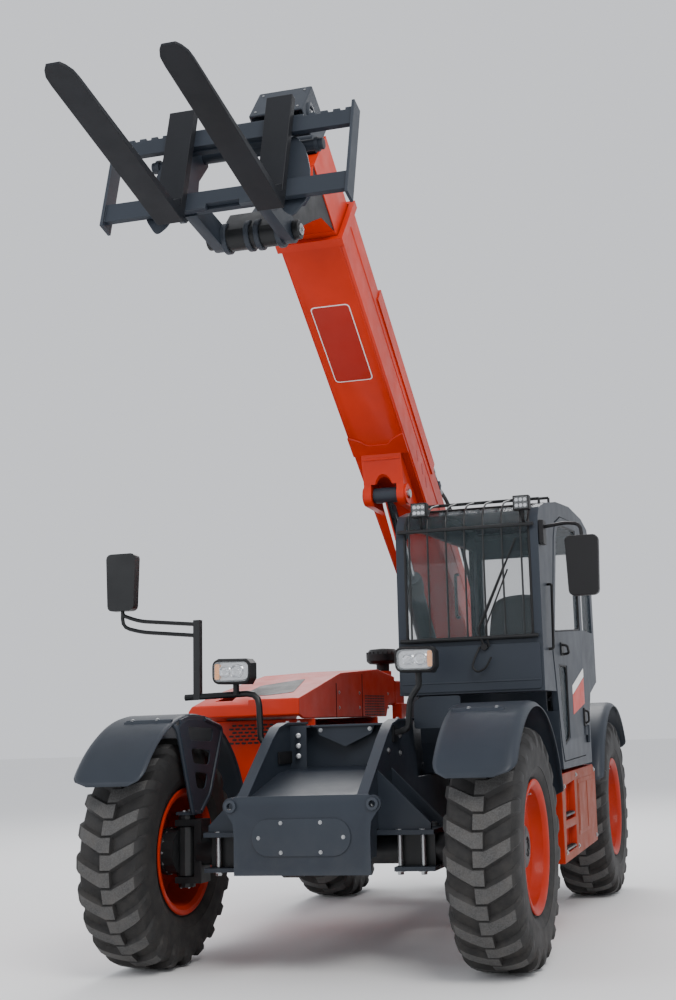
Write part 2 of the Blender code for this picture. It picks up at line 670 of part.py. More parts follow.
def cab_shell_shape():
    """Floor, rear wall, right wall, lower front panel, pillars and roof frame, with every window cut."""
    outer = slab(CAB_SIDE, "X", CAB_INNER_X, CAB_OUTER_X)
    hollow = slab(inset(CAB_SIDE, CAB_WALL), "X", CAB_INNER_X + CAB_WALL, CAB_OUTER_X - CAB_WALL)
    door_hole = slab(door_outline(-DOOR_GAP / 2), "X", CAB_OUTER_X - 2 * CAB_WALL, CAB_OUTER_X + 0.1)
    post = SCREEN_POST
    screen = slab(
        [(CAB_INNER_X + post, CAB_BELT), (CAB_OUTER_X - post, CAB_BELT), (CAB_OUTER_X - post, 2.70),
         (CAB_INNER_X + post, 2.70)], "Y", 0.30, 0.50,
    )
    skylight = block((CAB_INNER_X + post, CAB_OUTER_X - post), (0.40, 1.02), (2.36, 2.80))
    roof_hole = block((CAB_INNER_X + ROOF_FRAME, CAB_OUTER_X - ROOF_FRAME), (ROOF_FRONT_Y, ROOF_REAR_Y),
                      (2.55, 2.80))
    right_window = slab(RIGHT_WINDOW, "X", CAB_INNER_X - 0.06, CAB_INNER_X + 0.09)
    rear_window = block((CAB_INNER_X + REAR_FRAME, CAB_OUTER_X - REAR_FRAME), (2.30, 2.50),
                        (REAR_WINDOW_LOW, REAR_WINDOW_HIGH))
    quarter = slab(QUARTER_WINDOW, "X", CAB_OUTER_X - 0.07, CAB_OUTER_X + 0.03)
    shell = cut(outer, hollow, door_hole, screen, skylight, roof_hole, right_window, rear_window, quarter)
    hinge_x = CAB_OUTER_X + DOOR_HINGE_OUT
    leaves = []
    for z in DOOR_HINGE_Z:
        low, high = z - 0.045, z - BEARING_GAP
        leaves.append(bar((hinge_x, DOOR_REAR_Y, low), (hinge_x, DOOR_REAR_Y, high), HINGE_RADIUS, 10))
        leaves.append(block((CAB_OUTER_X - 0.004, hinge_x), (DOOR_REAR_Y + 0.001, DOOR_REAR_Y + 0.07),
                            (low + 0.003, high - 0.003)))
    return united(shell, *leaves)


def windscreen_shape():
    """One curved pane: the upright screen and the glass that bends over into the roof."""
    post = SCREEN_POST + BEARING_GAP
    path = [(CAB_FRONT_Y + 0.008, CAB_BELT + BEARING_GAP), (CAB_FRONT_Y + 0.008, 2.36), (0.473, 2.435),
            (0.525, 2.497),
            (0.70, 2.545), (1.018, 2.597)]
    return slab(strip(path, GLASS), "X", CAB_INNER_X + post, CAB_OUTER_X - post)


def cab_pieces(root, finishes):
    piece("cab_shell", cab_shell_shape(), finishes["slate"], root)
    piece("windscreen", windscreen_shape(), finishes["glass"], root)
    roof_x = (CAB_INNER_X + ROOF_FRAME + BEARING_GAP, CAB_OUTER_X - ROOF_FRAME - BEARING_GAP)
    roof = strip([(ROOF_FRONT_Y + BEARING_GAP, 2.612), (1.60, 2.652), (2.10, 2.637),
                  (ROOF_REAR_Y - BEARING_GAP, 2.618)], 0.012)
    piece("roof_hatch", slab(roof, "X", *roof_x), finishes["slate"], root)
    side_glass = slab(inset(RIGHT_WINDOW, BEARING_GAP), "X", CAB_INNER_X + 0.01, CAB_INNER_X + 0.01 + GLASS)
    piece("right_window", side_glass, finishes["glass"], root)
    rear_x = (CAB_INNER_X + REAR_FRAME + BEARING_GAP, CAB_OUTER_X - REAR_FRAME - BEARING_GAP)
    rear_z = (REAR_WINDOW_LOW + BEARING_GAP, REAR_WINDOW_HIGH - BEARING_GAP)
    rear_glass = block(rear_x, (CAB_REAR_Y - 0.02, CAB_REAR_Y - 0.02 + GLASS), rear_z)
    piece("rear_window", rear_glass, finishes["glass"], root)
    quarter_glass = slab(inset(QUARTER_WINDOW, BEARING_GAP), "X", CAB_OUTER_X - 0.016,
                         CAB_OUTER_X - 0.016 + GLASS)
    piece("quarter_window", quarter_glass, finishes["glass"], root)
    hinge_x = CAB_OUTER_X + DOOR_HINGE_OUT
    hinge = empty("door_hinge", (hinge_x, DOOR_REAR_Y, 0), root)
    door = slab(door_outline(DOOR_GAP / 2), "X", CAB_OUTER_X - CAB_WALL + 0.002, CAB_OUTER_X + 0.004)
    recess = [slab(inset(w, 0.004), "X", CAB_OUTER_X - 0.1, CAB_OUTER_X - 0.012) for w in door_windows()]
    outside = [slab(w, "X", CAB_OUTER_X - 0.006, CAB_OUTER_X + 0.1) for w in door_windows()]
    barrels = []
    for z in DOOR_HINGE_Z:
        barrels.append(bar((hinge_x, DOOR_REAR_Y, z), (hinge_x, DOOR_REAR_Y, z + HINGE_LENGTH), HINGE_RADIUS,
                           10))
        barrels.append(block((CAB_OUTER_X, hinge_x), (DOOR_REAR_Y - 0.07, DOOR_REAR_Y),
                             (z + 0.005, z + HINGE_LENGTH - 0.005)))
    door = united(cut(door, *recess, *outside), *barrels)
    piece("cab_door", moved(door, shift(-hinge_x, -DOOR_REAR_Y)), finishes["slate"], hinge)
    seat_x = 0.74
    cushion = block((seat_x - 0.24, seat_x + 0.24), (1.38, 1.86), (1.40, 1.50))
    backrest = slab([(1.80, 1.44), (1.90, 1.44), (2.06, 2.12), (1.96, 2.14)], "X", seat_x - 0.22,
                    seat_x + 0.22)
    base = block((seat_x - 0.17, seat_x + 0.17), (1.44, 1.84), (CAB_FLOOR + CAB_WALL + GAP, 1.41))
    piece("seat", united(cushion, backrest, base), finishes["fabric"], root)
    foot_z = CAB_FLOOR + CAB_WALL + GAP
    column = bar((seat_x, 1.02, foot_z + 0.10), (seat_x, 1.16, 1.70), 0.035, 12)
    console = slab([(0.96, foot_z), (1.16, foot_z), (1.14, 1.42), (1.05, 1.56), (0.98, 1.56)], "X",
                   seat_x - 0.13, seat_x + 0.13)
    ring = turned([(-0.012, 0.165), (0.012, 0.165), (0.012, 0.19), (-0.012, 0.19)], 20)
    spoke = block((-0.008, 0.008), (-0.172, 0.172), (-0.02, 0.02))
    hub = turned([(-0.03, 0), (-0.03, 0.04), (0.014, 0.04), (0.014, 0)], 12)
    wheel = united(ring, spoke, hub)
    tilt = Vector((1, 0, 0)).rotation_difference(Vector((0, 0.14, 0.45)).normalized()).to_matrix().to_4x4()
    wheel = moved(wheel, Matrix.Translation((seat_x, 1.165, 1.715)) @ tilt)
    piece("steering_column", united(console, column, wheel), finishes["black"], root)


# ---- engine side --------------------------------------------------------------------------------------
def engine_pieces(root, finishes):
    low, high = HOOD_OUTER_X, HOOD_INNER_X
    bay_inner = -(CHASSIS_HALF + 0.03)
    walls = [
        block((low, bay_inner), (BAY_FRONT_Y, BAY_REAR_Y), (BAY_BOTTOM, BAY_BOTTOM + SHEET)),
        block((low, bay_inner), (BAY_FRONT_Y, BAY_FRONT_Y + SHEET), (BAY_BOTTOM, BAY_TOP)),
        block((low, bay_inner), (BAY_REAR_Y - SHEET, BAY_REAR_Y), (BAY_BOTTOM, BAY_TOP)),
        block((low, low + SHEET), (BAY_FRONT_Y, BAY_REAR_Y), (BAY_BOTTOM, BAY_TOP)),
    ]
    piece("engine_bay", united(*walls), finishes["orange"], root)
    piece("engine_block", block((-1.0, -0.52), (1.02, 1.92), (BAY_BOTTOM + SHEET + GAP, 1.27)),
          finishes["black"], root)
    hinge_z = 1.60
    hinge = empty("hood_hinge", (high, 0, hinge_z), root)
    top = [(HOOD_FRONT_Y, 1.36), (HOOD_FRONT_Y, 1.46), (1.40, 1.63), (2.20, 1.675), (HOOD_REAR_Y, 1.63),
           (HOOD_REAR_Y, 1.43), (2.46, 1.43), (2.40, BAY_TOP + BEARING_GAP), (0.70, BAY_TOP + BEARING_GAP)]
    shell = slab(top, "X", low, high)
    shoulder = slab([(low - 0.1, 1.40), (low, 1.40), (-0.80, 1.80), (low - 0.1, 1.80)], "Y", 0.4, 2.9)
    front_fall = slab([(0.4, 1.50), (HOOD_FRONT_Y, 1.43), (0.88, 1.53), (0.60, 1.60)], "X", low - 0.1, -0.72)
    inner_room = slab(
        [(HOOD_FRONT_Y + 0.04, 1.2), (HOOD_FRONT_Y + 0.04, 1.435), (1.40, 1.605), (2.20, 1.65),
         (HOOD_REAR_Y - 0.025, 1.605),
         (HOOD_REAR_Y - 0.025, 1.2)], "X", low + 0.23, high - 0.02,
    )
    edge_room = slab([(low + 0.03, 1.2), (low + 0.26, 1.2), (low + 0.26, 1.52), (low + 0.03, 1.385)], "Y",
                     0.70, 2.57)
    hood = cut(shell, shoulder, front_fall, inner_room, edge_room)
    piece("engine_hood", moved(hood, shift(-high, 0, -hinge_z)), finishes["orange"], hinge)
    cowl_front = HOOD_REAR_Y + 0.008
    cowl = block((-0.66, -0.385), (cowl_front, 2.86), (1.42, 1.60))
    strut = block((-0.42, -CHASSIS_HALF - GAP), (cowl_front + 0.02, 2.80), (0.98, 1.43))
    stub = bar((-0.52, CLEANER_Y, 1.59), (-0.52, CLEANER_Y, 1.68), 0.065, 12)
    piece("rear_cowl", united(cowl, strut, stub), finishes["orange"], root)
    cap = moved(
        turned([(0, 0), (0, 0.05), (0.05, 0.05), (0.055, 0.10), (0.075, 0.125), (0.125, 0.128), (0.165, 0.10),
                (0.175, 0)], 20),
        Matrix.Translation((-0.52, CLEANER_Y, 1.68 + GAP)) @ Matrix.Rotation(-math.pi / 2, 4, "Y"),
    )
    piece("air_precleaner", cap, finishes["black"], root)


def side_tank_shape():
    """The tank and tool box under the cab, with two openings in its skirt."""
    outline = [(0.86, 0.44), (2.14, 0.46), (2.16, 0.92), (2.06, 0.965), (0.90, 0.955), (0.85, 0.88)]
    body = slab(outline, "X", TANK_INNER_X, TANK_OUTER_X)
    holes = [
        slab([(0.95, 0.68), (1.30, 0.68), (1.30, 0.90), (0.97, 0.88)], "X", TANK_OUTER_X - 0.045,
             TANK_OUTER_X + 0.03),
        slab([(0.93, 0.49), (1.30, 0.50), (1.30, 0.63), (0.94, 0.63)], "X", TANK_OUTER_X - 0.045,
             TANK_OUTER_X + 0.03),
    ]
    return cut(body, *holes)


# ---- boom ---------------------------------------------------------------------------------------------
def outer_boom_shape():
    """The fixed boom section, level, with its pivot at the origin and its open end at -BOOM_LENGTH."""
    half, low, high = BOOM_HALF_WIDTH, -BOOM_BELOW, BOOM_ABOVE
    skin = [(-half + 0.02, low), (half - 0.02, low), (half, low + 0.02), (half, high - 0.035),
            (half - 0.035, high),
            (-half + 0.035, high), (-half, high - 0.035), (-half, low + 0.02)]
    body = slab(skin, "Y", -BOOM_LENGTH, BOOM_TAIL)
    hollow = block((-half + BOOM_WALL, half - BOOM_WALL), (-BOOM_LENGTH - 0.1, -0.22),
                   (low + BOOM_WALL, high - BOOM_WALL))
    collar = slab([(-half - 0.012, low - 0.012), (half + 0.012, low - 0.012), (half + 0.012, high + 0.012),
                   (-half - 0.012, high + 0.012)], "Y", -BOOM_LENGTH - 0.001, -BOOM_LENGTH + 0.05)
    strips = both_sides(block((half - 0.01, half + 0.009), (-3.60, -2.12), (high - 0.11, high - 0.004)))
    doubler_edge = [(-half + 0.004, -2.74), (-0.11, -2.70), (-0.07, -2.66), (0.07, -2.66), (0.11, -2.70),
                    (half - 0.004, -2.74), (half - 0.004, -2.58), (-half + 0.004, -2.58)]
    doubler = slab(doubler_edge, "Z", low - 0.008, low + 0.004)
    pin_y, pin_z = -LIFT_PIN_BACK, -LIFT_PIN_DROP
    cheek_in = ROD_EYE_HALF + RUNNING_GAP
    cheek = [(-2.60, low + 0.003), (-2.43, pin_z + 0.01), *arc((pin_y, pin_z), 0.075, 190, 320, 6),
             (-2.02, low + 0.003)]
    cheeks = both_sides(slab(cheek, "X", cheek_in, cheek_in + 0.05))
    nose = slab([(-2.60, low + 0.003), (-2.43, pin_z + 0.01), (-2.42, pin_z + 0.025), (-2.585, low + 0.003)],
                "X",
                -cheek_in - 0.05, cheek_in + 0.05)
    mouth = slab(arc((0, pin_z - 0.01), 0.062, 0, 180, 8), "Y", -2.56, -2.2)
    stubs = both_sides(bar((cheek_in + 0.002, pin_y, pin_z), (cheek_in + 0.062, pin_y, pin_z),
                           LIFT_PIN_RADIUS, 16))
    side = CHASSIS_HALF - SIDE_PLATE - BEARING_GAP
    tube = bar((-side, 0, 0), (side, 0, 0), 0.085, 16)
    bore = bar((-1, 0, 0), (1, 0, 0), PIVOT_PIN_RADIUS + PIN_GAP, 16)
    whole = united(body, collar, *strips, doubler, *cheeks, cut(nose, mouth), *stubs, tube)
    whole = cut(whole, hollow, bore)
    pad_low = low + BOOM_WALL
    pads = [block((x - 0.03, x + 0.03), (-BOOM_LENGTH + 0.01, -BOOM_LENGTH + 0.09),
                  (pad_low - 0.003, pad_low + SLIDE_GAP - BEARING_GAP))
            for x in (-0.10, 0.10)]
    return united(whole, *pads)


def inner_boom_shape():
    """The sliding section, with the goose-neck head that carries the carriage pin."""
    half = BOOM_HALF_WIDTH - BOOM_WALL - SLIDE_GAP
    low = -BOOM_BELOW + BOOM_WALL + SLIDE_GAP
    high = BOOM_ABOVE - BOOM_WALL - SLIDE_GAP
    front = -BOOM_LENGTH - NOSE_REACH
    rear = -BOOM_LENGTH + INNER_TAIL
    body = block((-half, half), (front, rear), (low, high))
    hollow = block((-half + INNER_WALL, half - INNER_WALL), (front + 0.30, rear + 0.1),
                   (low + INNER_WALL, high - INNER_WALL))
    base = -BOOM_LENGTH
    pin_y, pin_z = base - CARRIAGE_PIN_Y, -CARRIAGE_PIN_Z
    neck = [
        (base - 0.03, low + 0.01), (base - 0.03, -0.17), (base - 0.20, -0.30), (base - 0.27, -0.45),
        (pin_y + 0.085, pin_z + 0.15), *arc((pin_y, pin_z), 0.07, 30, -160, 8), (pin_y - 0.055, pin_z + 0.15),
        (base - 0.385, -0.48), (base - 0.37, -0.36), (base - 0.42, -0.22), (front, low + 0.01),
    ]
    neck_half = NECK_HALF
    head = slab(neck, "X", -neck_half, neck_half)
    bore_pin = bar((-0.5, pin_y, pin_z), (0.5, pin_y, pin_z), CARRIAGE_PIN_RADIUS + PIN_GAP, 16)
    return cut(united(body, head), hollow, bore_pin)


def nose_cover_shape():
    """The grey housing over the boom's nose."""
    half = BOOM_HALF_WIDTH - 0.035
    near = -BOOM_LENGTH - NOSE_REACH - GAP
    far = near - 0.29
    outline = [(near, -0.04), (far, -0.05), (far, 0.225), (near + 0.0, 0.255)]
    box = slab(outline, "X", -half, half)
    room = slab([(near - 0.02, -0.2), (far + 0.015, -0.2), (far + 0.015, 0.21), (near - 0.02, 0.238)], "X",
                -half + 0.012, half - 0.012)
    return cut(box, room)


def lift_direction():
    """The lift cylinder's direction at rest, from its base pin to the boom's pin, as (y, z)."""
    cos_a, sin_a = math.cos(BOOM_ANGLE), math.sin(BOOM_ANGLE)
    back, drop = LIFT_PIN_BACK, LIFT_PIN_DROP
    pin_y = BOOM_PIVOT_Y - back * cos_a - drop * sin_a
    pin_z = BOOM_PIVOT_Z + back * sin_a - drop * cos_a
    return pin_y - LIFT_BASE_Y, pin_z - LIFT_BASE_Z


def lift_cylinder(root, finishes):
    """The barrel points along -Y in its own empty, which pitches it up to the boom's pin."""
    reach_y, reach_z = lift_direction()
    length = math.hypot(reach_y, reach_z)
    base = empty("lift_base", (0, LIFT_BASE_Y, LIFT_BASE_Z), root, pitch=-math.atan2(reach_z, -reach_y))
    barrel = bar((0, -0.05, 0), (0, -BARREL_LENGTH, 0), BARREL_RADIUS, 16)
    gland = bar((0, -BARREL_LENGTH + 0.06, 0), (0, -BARREL_LENGTH - 0.02, 0), BARREL_RADIUS + 0.006, 16)
    eye = bar((-LIFT_COLLAR_X + BEARING_GAP, 0, 0), (LIFT_COLLAR_X - BEARING_GAP, 0, 0), 0.075, 16)
    bore = bar((-0.2, 0, 0), (0.2, 0, 0), LIFT_PIN_RADIUS + PIN_GAP, 16)
    chamber = bar((0, -0.20, 0), (0, -BARREL_LENGTH - 0.1, 0), ROD_RADIUS + BEARING_GAP, 16)
    piece("lift_barrel", cut(united(barrel, gland, eye), bore, chamber), finishes["slate"], base)
    rod = bar((0, -length + ROD_LENGTH, 0), (0, -length, 0), ROD_RADIUS, 16)
    rod_eye = bar((-ROD_EYE_HALF, -length, 0), (ROD_EYE_HALF, -length, 0), ROD_EYE_RADIUS, 16)
    piece("lift_rod", united(rod, rod_eye), finishes["steel"], base)


# ---- carriage and forks ---------------------------------------------------------------------------------
CARRIAGE_FOOT_Y = -0.322        # the frame's foot from the carriage pin, along and across the boom
CARRIAGE_FOOT_Z = -0.265


def in_carriage(mesh):
    """Moves a shape made with the carriage upright (foot at the origin, rear towards +Y) onto its pin."""
    lean = CARRIAGE_LEAN - BOOM_ANGLE
    return moved(mesh, shift(0, CARRIAGE_FOOT_Y, CARRIAGE_FOOT_Z) @ Matrix.Rotation(-lean, 4, "X"))


def fork_carriage_shape():
    """Two rails between end plates, with a toothed top rail."""
    half, high = CARRIAGE_HALF_WIDTH, CARRIAGE_HEIGHT
    low_rail = block((-half, half), (0, CARRIAGE_PLATE), (0.02, 0.125))
    top_rail = block((-half, half), (0, CARRIAGE_PLATE), (high - 0.125, high - 0.02))
    ends = both_sides(block((half - 0.016, half), (-0.012, CARRIAGE_PLATE + 0.05), (-0.008, high + 0.012)))
    notch = block((-0.09, 0.09), (-0.1, 0.1), (0.0, 0.045))
    teeth = []
    for side in (-1, 1):
        for i in range(4):
            x = side * (0.40 + i * 0.065)
            teeth.append(block((x - 0.014, x + 0.014), (-0.05, 0.1), (high - 0.034, high)))
    return in_carriage(cut(united(low_rail, top_rail, *ends), notch, *teeth))


def coupler_shape():
    """The quick coupler: two side plates from the carriage pin's lugs up to the cross tube."""
    near = CARRIAGE_PLATE + GAP
    lean = CARRIAGE_LEAN - BOOM_ANGLE
    pin_back = -CARRIAGE_FOOT_Y * math.cos(lean) + CARRIAGE_FOOT_Z * math.sin(lean)
    pin_up = -CARRIAGE_FOOT_Y * math.sin(lean) - CARRIAGE_FOOT_Z * math.cos(lean)
    top_back, top_up = 0.19, 0.50
    plate = [
        (near, 0.13), (near, 0.43), (near + 0.035, 0.47), (top_back - 0.03,
                                                           top_up + 0.055), (top_back + 0.035, top_up + 0.05),
        (top_back + 0.055, top_up - 0.02), (0.17, 0.33), (0.19, 0.17), (0.10, 0.02), (near, -0.01),
    ]
    side_plates = both_sides(slab(plate, "X", 0.235, 0.255))
    lug = [(near + 0.02, 0.02), (near + 0.02, 0.14), (0.16, 0.15), (pin_back + 0.03, pin_up + 0.062),
           *arc((pin_back, pin_up), 0.066, 60, -100, 6)]
    lugs = both_sides(slab(lug, "X", NECK_HALF + BEARING_GAP, 0.222))
    ties = [
        block((-0.25, 0.25), (near, near + 0.03), (0.03, 0.12)),
        block((-0.25, 0.25), (near, near + 0.03), (0.405, 0.475)),
    ]
    tube = bar((-0.38, top_back, top_up), (0.38, top_back, top_up), 0.035, 16)
    pin = bar((-0.235, pin_back, pin_up), (0.235, pin_back, pin_up), CARRIAGE_PIN_RADIUS, 16)
    return in_carriage(united(*side_plates, *lugs, *ties, tube, pin))


def fork_shape(x):
    """An L-shaped fork: shank in front of the carriage, blade with a tapered rounded tip."""
    half = FORK_WIDTH / 2
    back = -BEARING_GAP
    front = back - FORK_THICK
    foot = -FORK_DROP
    side = [(back, foot), (back, FORK_SHANK), (front, FORK_SHANK), (front, foot + FORK_THICK + 0.03),
            (front - 0.03, foot + FORK_THICK), (front - FORK_LENGTH + FORK_THICK, foot + 0.016),
            (front - FORK_LENGTH + FORK_THICK, foot)]
    body = slab(side, "X", x - half, x + half)
    tip = front - FORK_LENGTH + FORK_THICK
    corners = []
    for side_x in (-1, 1):
        edge = x + side_x * half
        corners.append(slab([(edge + side_x * 0.01, tip - 0.01), (edge - side_x * 0.045, tip - 0.01),
                             (edge - side_x * 0.020, tip + 0.022), (edge - side_x * 0.004, tip + 0.06), (edge,
                                 tip + 0.11),
                             (edge + side_x * 0.01, tip + 0.11)], "Z", foot - 0.1, foot + 0.2))
    hooks = [
        slab([(back - 0.01, CARRIAGE_HEIGHT - 0.0185), (back - 0.01, CARRIAGE_HEIGHT + 0.022),
              (CARRIAGE_PLATE + 0.02, CARRIAGE_HEIGHT + 0.022), (CARRIAGE_PLATE + 0.02,
                  CARRIAGE_HEIGHT - 0.055),
              (CARRIAGE_PLATE + 0.001, CARRIAGE_HEIGHT - 0.055), (CARRIAGE_PLATE + 0.001,
                  CARRIAGE_HEIGHT - 0.0185)],
             "X", x - half * 0.6, x + half * 0.6),
    ]
    return in_carriage(cut(united(body, *hooks), *corners))


def boom_pieces(root, finishes):
    pivot = empty("boom_pivot", (0, BOOM_PIVOT_Y, BOOM_PIVOT_Z), root, pitch=-BOOM_ANGLE)
    piece("outer_boom", outer_boom_shape(), finishes["orange"], pivot)
    piece("inner_boom", inner_boom_shape(), finishes["orange"], pivot)
    piece("nose_cover", nose_cover_shape(), finishes["slate"], pivot)
    pin = empty("carriage_pin", (0, -BOOM_LENGTH - CARRIAGE_PIN_Y, -CARRIAGE_PIN_Z), pivot)
    piece("quick_coupler", coupler_shape(), finishes["slate"], pin)
    piece("fork_carriage", fork_carriage_shape(), finishes["slate"], pin)
    piece("left_fork", fork_shape(FORK_SPREAD), finishes["black"], pin)
    piece("right_fork", fork_shape(-FORK_SPREAD), finishes["black"], pin)


# ---- lamps and mirrors ----------------------------------------------------------------------------------
def mirror_head(centre):
    half_x, half_y, half_z = 0.095, 0.03, 0.175
    outline = arc((half_x - 0.03, half_z - 0.03), 0.03, 0, 90, 3) + arc((-half_x + 0.03, half_z - 0.03), 0.03,
        90, 180, 3)
    outline += arc((-half_x + 0.04, -half_z + 0.04), 0.03, 180, 270, 3) + arc((half_x - 0.04, -half_z + 0.04),
        0.03, 270, 360, 3)
    return moved(slab(outline, "Y", -half_y, half_y), Matrix.Translation(centre))


def lamp_head(centre):
    half = 0.11
    outline = [(-half, -0.03), (-half * 0.8, -0.07), (half * 0.8, -0.075), (half, -0.04), (half, 0.045),
               (half * 0.8, 0.07),
               (-half * 0.8, 0.075), (-half, 0.04)]
    shell = slab(outline, "Y", -0.055, 0.04)
    foot = bar((0, 0, -0.13), (0, 0, -0.06), 0.018, 10)
    return moved(united(shell, foot), Matrix.Translation(centre))


def lamp_and_mirror_pieces(root, finishes):
    wall = CHASSIS_HALF + GAP
    y = 0.09
    frame = bent_tube([(-wall - 0.010, y, 1.195), (-wall - 0.0697, y, 1.215), (-wall - 0.0797, y, 1.485),
                       (-0.88, y, 1.475)], 0.019, 0.07, 8)
    pad = block((-wall - 0.012, -wall), (y - 0.04, y + 0.04), (1.15, 1.235))
    post = block((-0.822, -0.782), (y - 0.02, y + 0.02), (1.46, 1.92))
    arm = bent_tube([(-0.80, y, 1.895), (-1.16, y - 0.03, 1.93), (-1.27, y - 0.03, 1.97),
                     (-1.27, y - 0.03, 2.02)], 0.012, 0.05)
    arm_low = bent_tube([(-0.80, y, 1.83), (-1.14, y - 0.03, 1.865), (-1.27, y - 0.03, 1.90),
                         (-1.27, y - 0.03, 2.02)], 0.012, 0.05)
    lamp = lamp_head((-0.55, y - 0.03, 1.61))
    piece("right_lamp_and_mirror", united(frame, pad, post, arm, arm_low, lamp,
                                          mirror_head((-1.27, y - 0.03, 2.16))),
          finishes["black"], root)
    y = 0.19
    stand = bent_tube([(wall + 0.004, y, 1.235), (wall + 0.0847, y, 1.25), (wall + 0.0997, y, 1.42),
                       (0.50, y, 1.49), (0.50, y, 1.52)], 0.019, 0.06, 8)
    pad = block((wall, wall + 0.012), (y - 0.04, y + 0.04), (1.185, 1.28))
    piece("left_lamp", united(stand, pad, lamp_head((0.50, y, 1.635))), finishes["black"], root)
    side = CAB_OUTER_X + GAP
    pad = block((side, side + 0.03), (0.46, 0.56), (2.28, 2.42))
    arm = bent_tube([(side + 0.02, 0.50, 2.38), (1.34, 0.42, 2.385), (1.44, 0.34, 2.36), (1.44, 0.34, 2.22)],
                    0.012, 0.05)
    piece("left_mirror", united(pad, arm, mirror_head((1.44, 0.34, 2.12))), finishes["black"], root)


# ---- the whole machine ----------------------------------------------------------------------------------
def set_origin(root):
    """Moves the machine so that its bounding box stands centred on the origin."""
    bpy.context.view_layer.update()
    meshes = [item for item in bpy.data.objects if item.type == "MESH"]
    corners = [item.matrix_world @ vert.co for item in meshes for vert in item.data.vertices]
    middle = [(min(c[i] for c in corners) + max(c[i] for c in corners)) / 2 for i in range(2)]
    root.location = (-middle[0], -middle[1], -min(c[2] for c in corners))


def build():
    clear_scene()
    finishes = {
        "orange": material("orange_paint", ORANGE, 0.35),
        "slate": material("slate_paint", SLATE, 0.45),
        "black": material("black_steel", BLACK, 0.5),
        "rubber": material("rubber", RUBBER, 0.85),
        "steel": material("chrome", STEEL, 0.15, 1.0),
        "glass": material("tinted_glass", GLASS_TINT, 0.05),
        "fabric": material("seat_fabric", FABRIC, 0.8),
    }
    root = empty("machine", (0, 0, 0), None)
    running_gear(root, finishes)
    frame_pieces(root, finishes)
    cab_pieces(root, finishes)
    engine_pieces(root, finishes)
    piece("side_tank", side_tank_shape(), finishes["orange"], root)
    boom_pieces(root, finishes)
    lift_cylinder(root, finishes)
    lamp_and_mirror_pieces(root, finishes)
    set_origin(root)


build()
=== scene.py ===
"""Looks for the telehandler: materials, tyres, fenders, cab fittings, lamps, bolts, hoses, lights and camera.

Places are given in the machine's own frame, which ORIGIN moves to the model: the front axle is at Y = 0, the
ground at Z = 0, the centre plane at X = 0, the machine faces -Y and its cab is on the +X side.
"""

import json
import math

import bmesh
import bpy
from mathutils import Matrix, Vector


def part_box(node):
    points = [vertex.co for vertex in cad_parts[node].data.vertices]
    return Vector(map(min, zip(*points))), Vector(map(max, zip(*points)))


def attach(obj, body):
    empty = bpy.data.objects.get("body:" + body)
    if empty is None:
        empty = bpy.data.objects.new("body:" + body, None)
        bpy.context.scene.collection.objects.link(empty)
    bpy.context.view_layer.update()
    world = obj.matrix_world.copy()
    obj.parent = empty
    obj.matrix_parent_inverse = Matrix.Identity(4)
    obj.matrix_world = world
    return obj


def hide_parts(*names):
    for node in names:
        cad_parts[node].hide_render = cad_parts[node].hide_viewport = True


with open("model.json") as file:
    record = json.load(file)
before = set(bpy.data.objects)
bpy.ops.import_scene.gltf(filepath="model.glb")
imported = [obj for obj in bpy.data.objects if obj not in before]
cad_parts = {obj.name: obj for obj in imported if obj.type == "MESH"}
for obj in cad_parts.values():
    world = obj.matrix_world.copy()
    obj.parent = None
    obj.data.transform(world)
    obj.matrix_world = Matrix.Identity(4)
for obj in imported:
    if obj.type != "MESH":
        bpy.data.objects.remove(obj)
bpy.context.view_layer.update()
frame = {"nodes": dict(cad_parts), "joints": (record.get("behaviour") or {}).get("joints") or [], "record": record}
joints = {joint["name"]: joint for joint in frame["joints"]}


# ---- frames of reference ----
move = Matrix.Translation


def lean(angle):
    return Matrix.Rotation(angle, 4, "X")


def middle(node):
    low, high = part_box(node)
    return (Vector(tuple(low)) + Vector(tuple(high))) / 2


FRONT = (middle("front_left_tyre") + middle("front_right_tyre")) / 2
ORIGIN = move((FRONT.x, FRONT.y, 0))
AXLE_Z = TYRE_RADIUS = middle("front_left_tyre").z
WHEELBASE = middle("rear_left_tyre").y - middle("front_left_tyre").y
KINGPIN_X = 0.83
HALF_TURN = Matrix.Rotation(math.pi, 4, "Z")
LEFT, AHEAD, UP = (1, 0, 0), (0, -1, 0), (0, 0, 1)
CORNERS = {"front_left": (1, 1), "front_right": (-1, 1), "rear_left": (1, -1), "rear_right": (-1, -1)}

boom_axis = Vector(joints["boom_extend"]["axis"])
BOOM_ANGLE = math.atan2(boom_axis.z, -boom_axis.y)
BOOM = move(Vector(joints["boom_lift"]["pos_m"])) @ lean(-BOOM_ANGLE)
BOOM_LENGTH = 4.237
CARRIAGE_LEAN = math.radians(15.4)
CARRIAGE_PIN = Vector(joints["carriage_tilt"]["pos_m"])
CARRIAGE_FROM_PIN = (0, -0.322, -0.265)         # along the boom
CARRIAGE = move(CARRIAGE_PIN) @ lean(-BOOM_ANGLE) @ move(CARRIAGE_FROM_PIN) @ lean(BOOM_ANGLE - CARRIAGE_LEAN)
lift_axis = Vector(joints["lift_rod_slide"]["axis"])
LIFT = move(Vector(joints["lift_cylinder_swing"]["pos_m"])) @ lean(-math.atan2(lift_axis.z, -lift_axis.y))


def axle_frame(x, forward, outward=1):
    """At an axle's height, mirrored so that +X points outward and -Y to the machine's nearer end."""
    at = move((x, 0 if forward > 0 else WHEELBASE, AXLE_Z))
    return ORIGIN @ at @ Matrix.Diagonal((outward, forward, 1, 1))


# ---- materials ----
DUST_COLOUR = (0.22, 0.19, 0.16)
BUMP_DISTANCE = 0.002


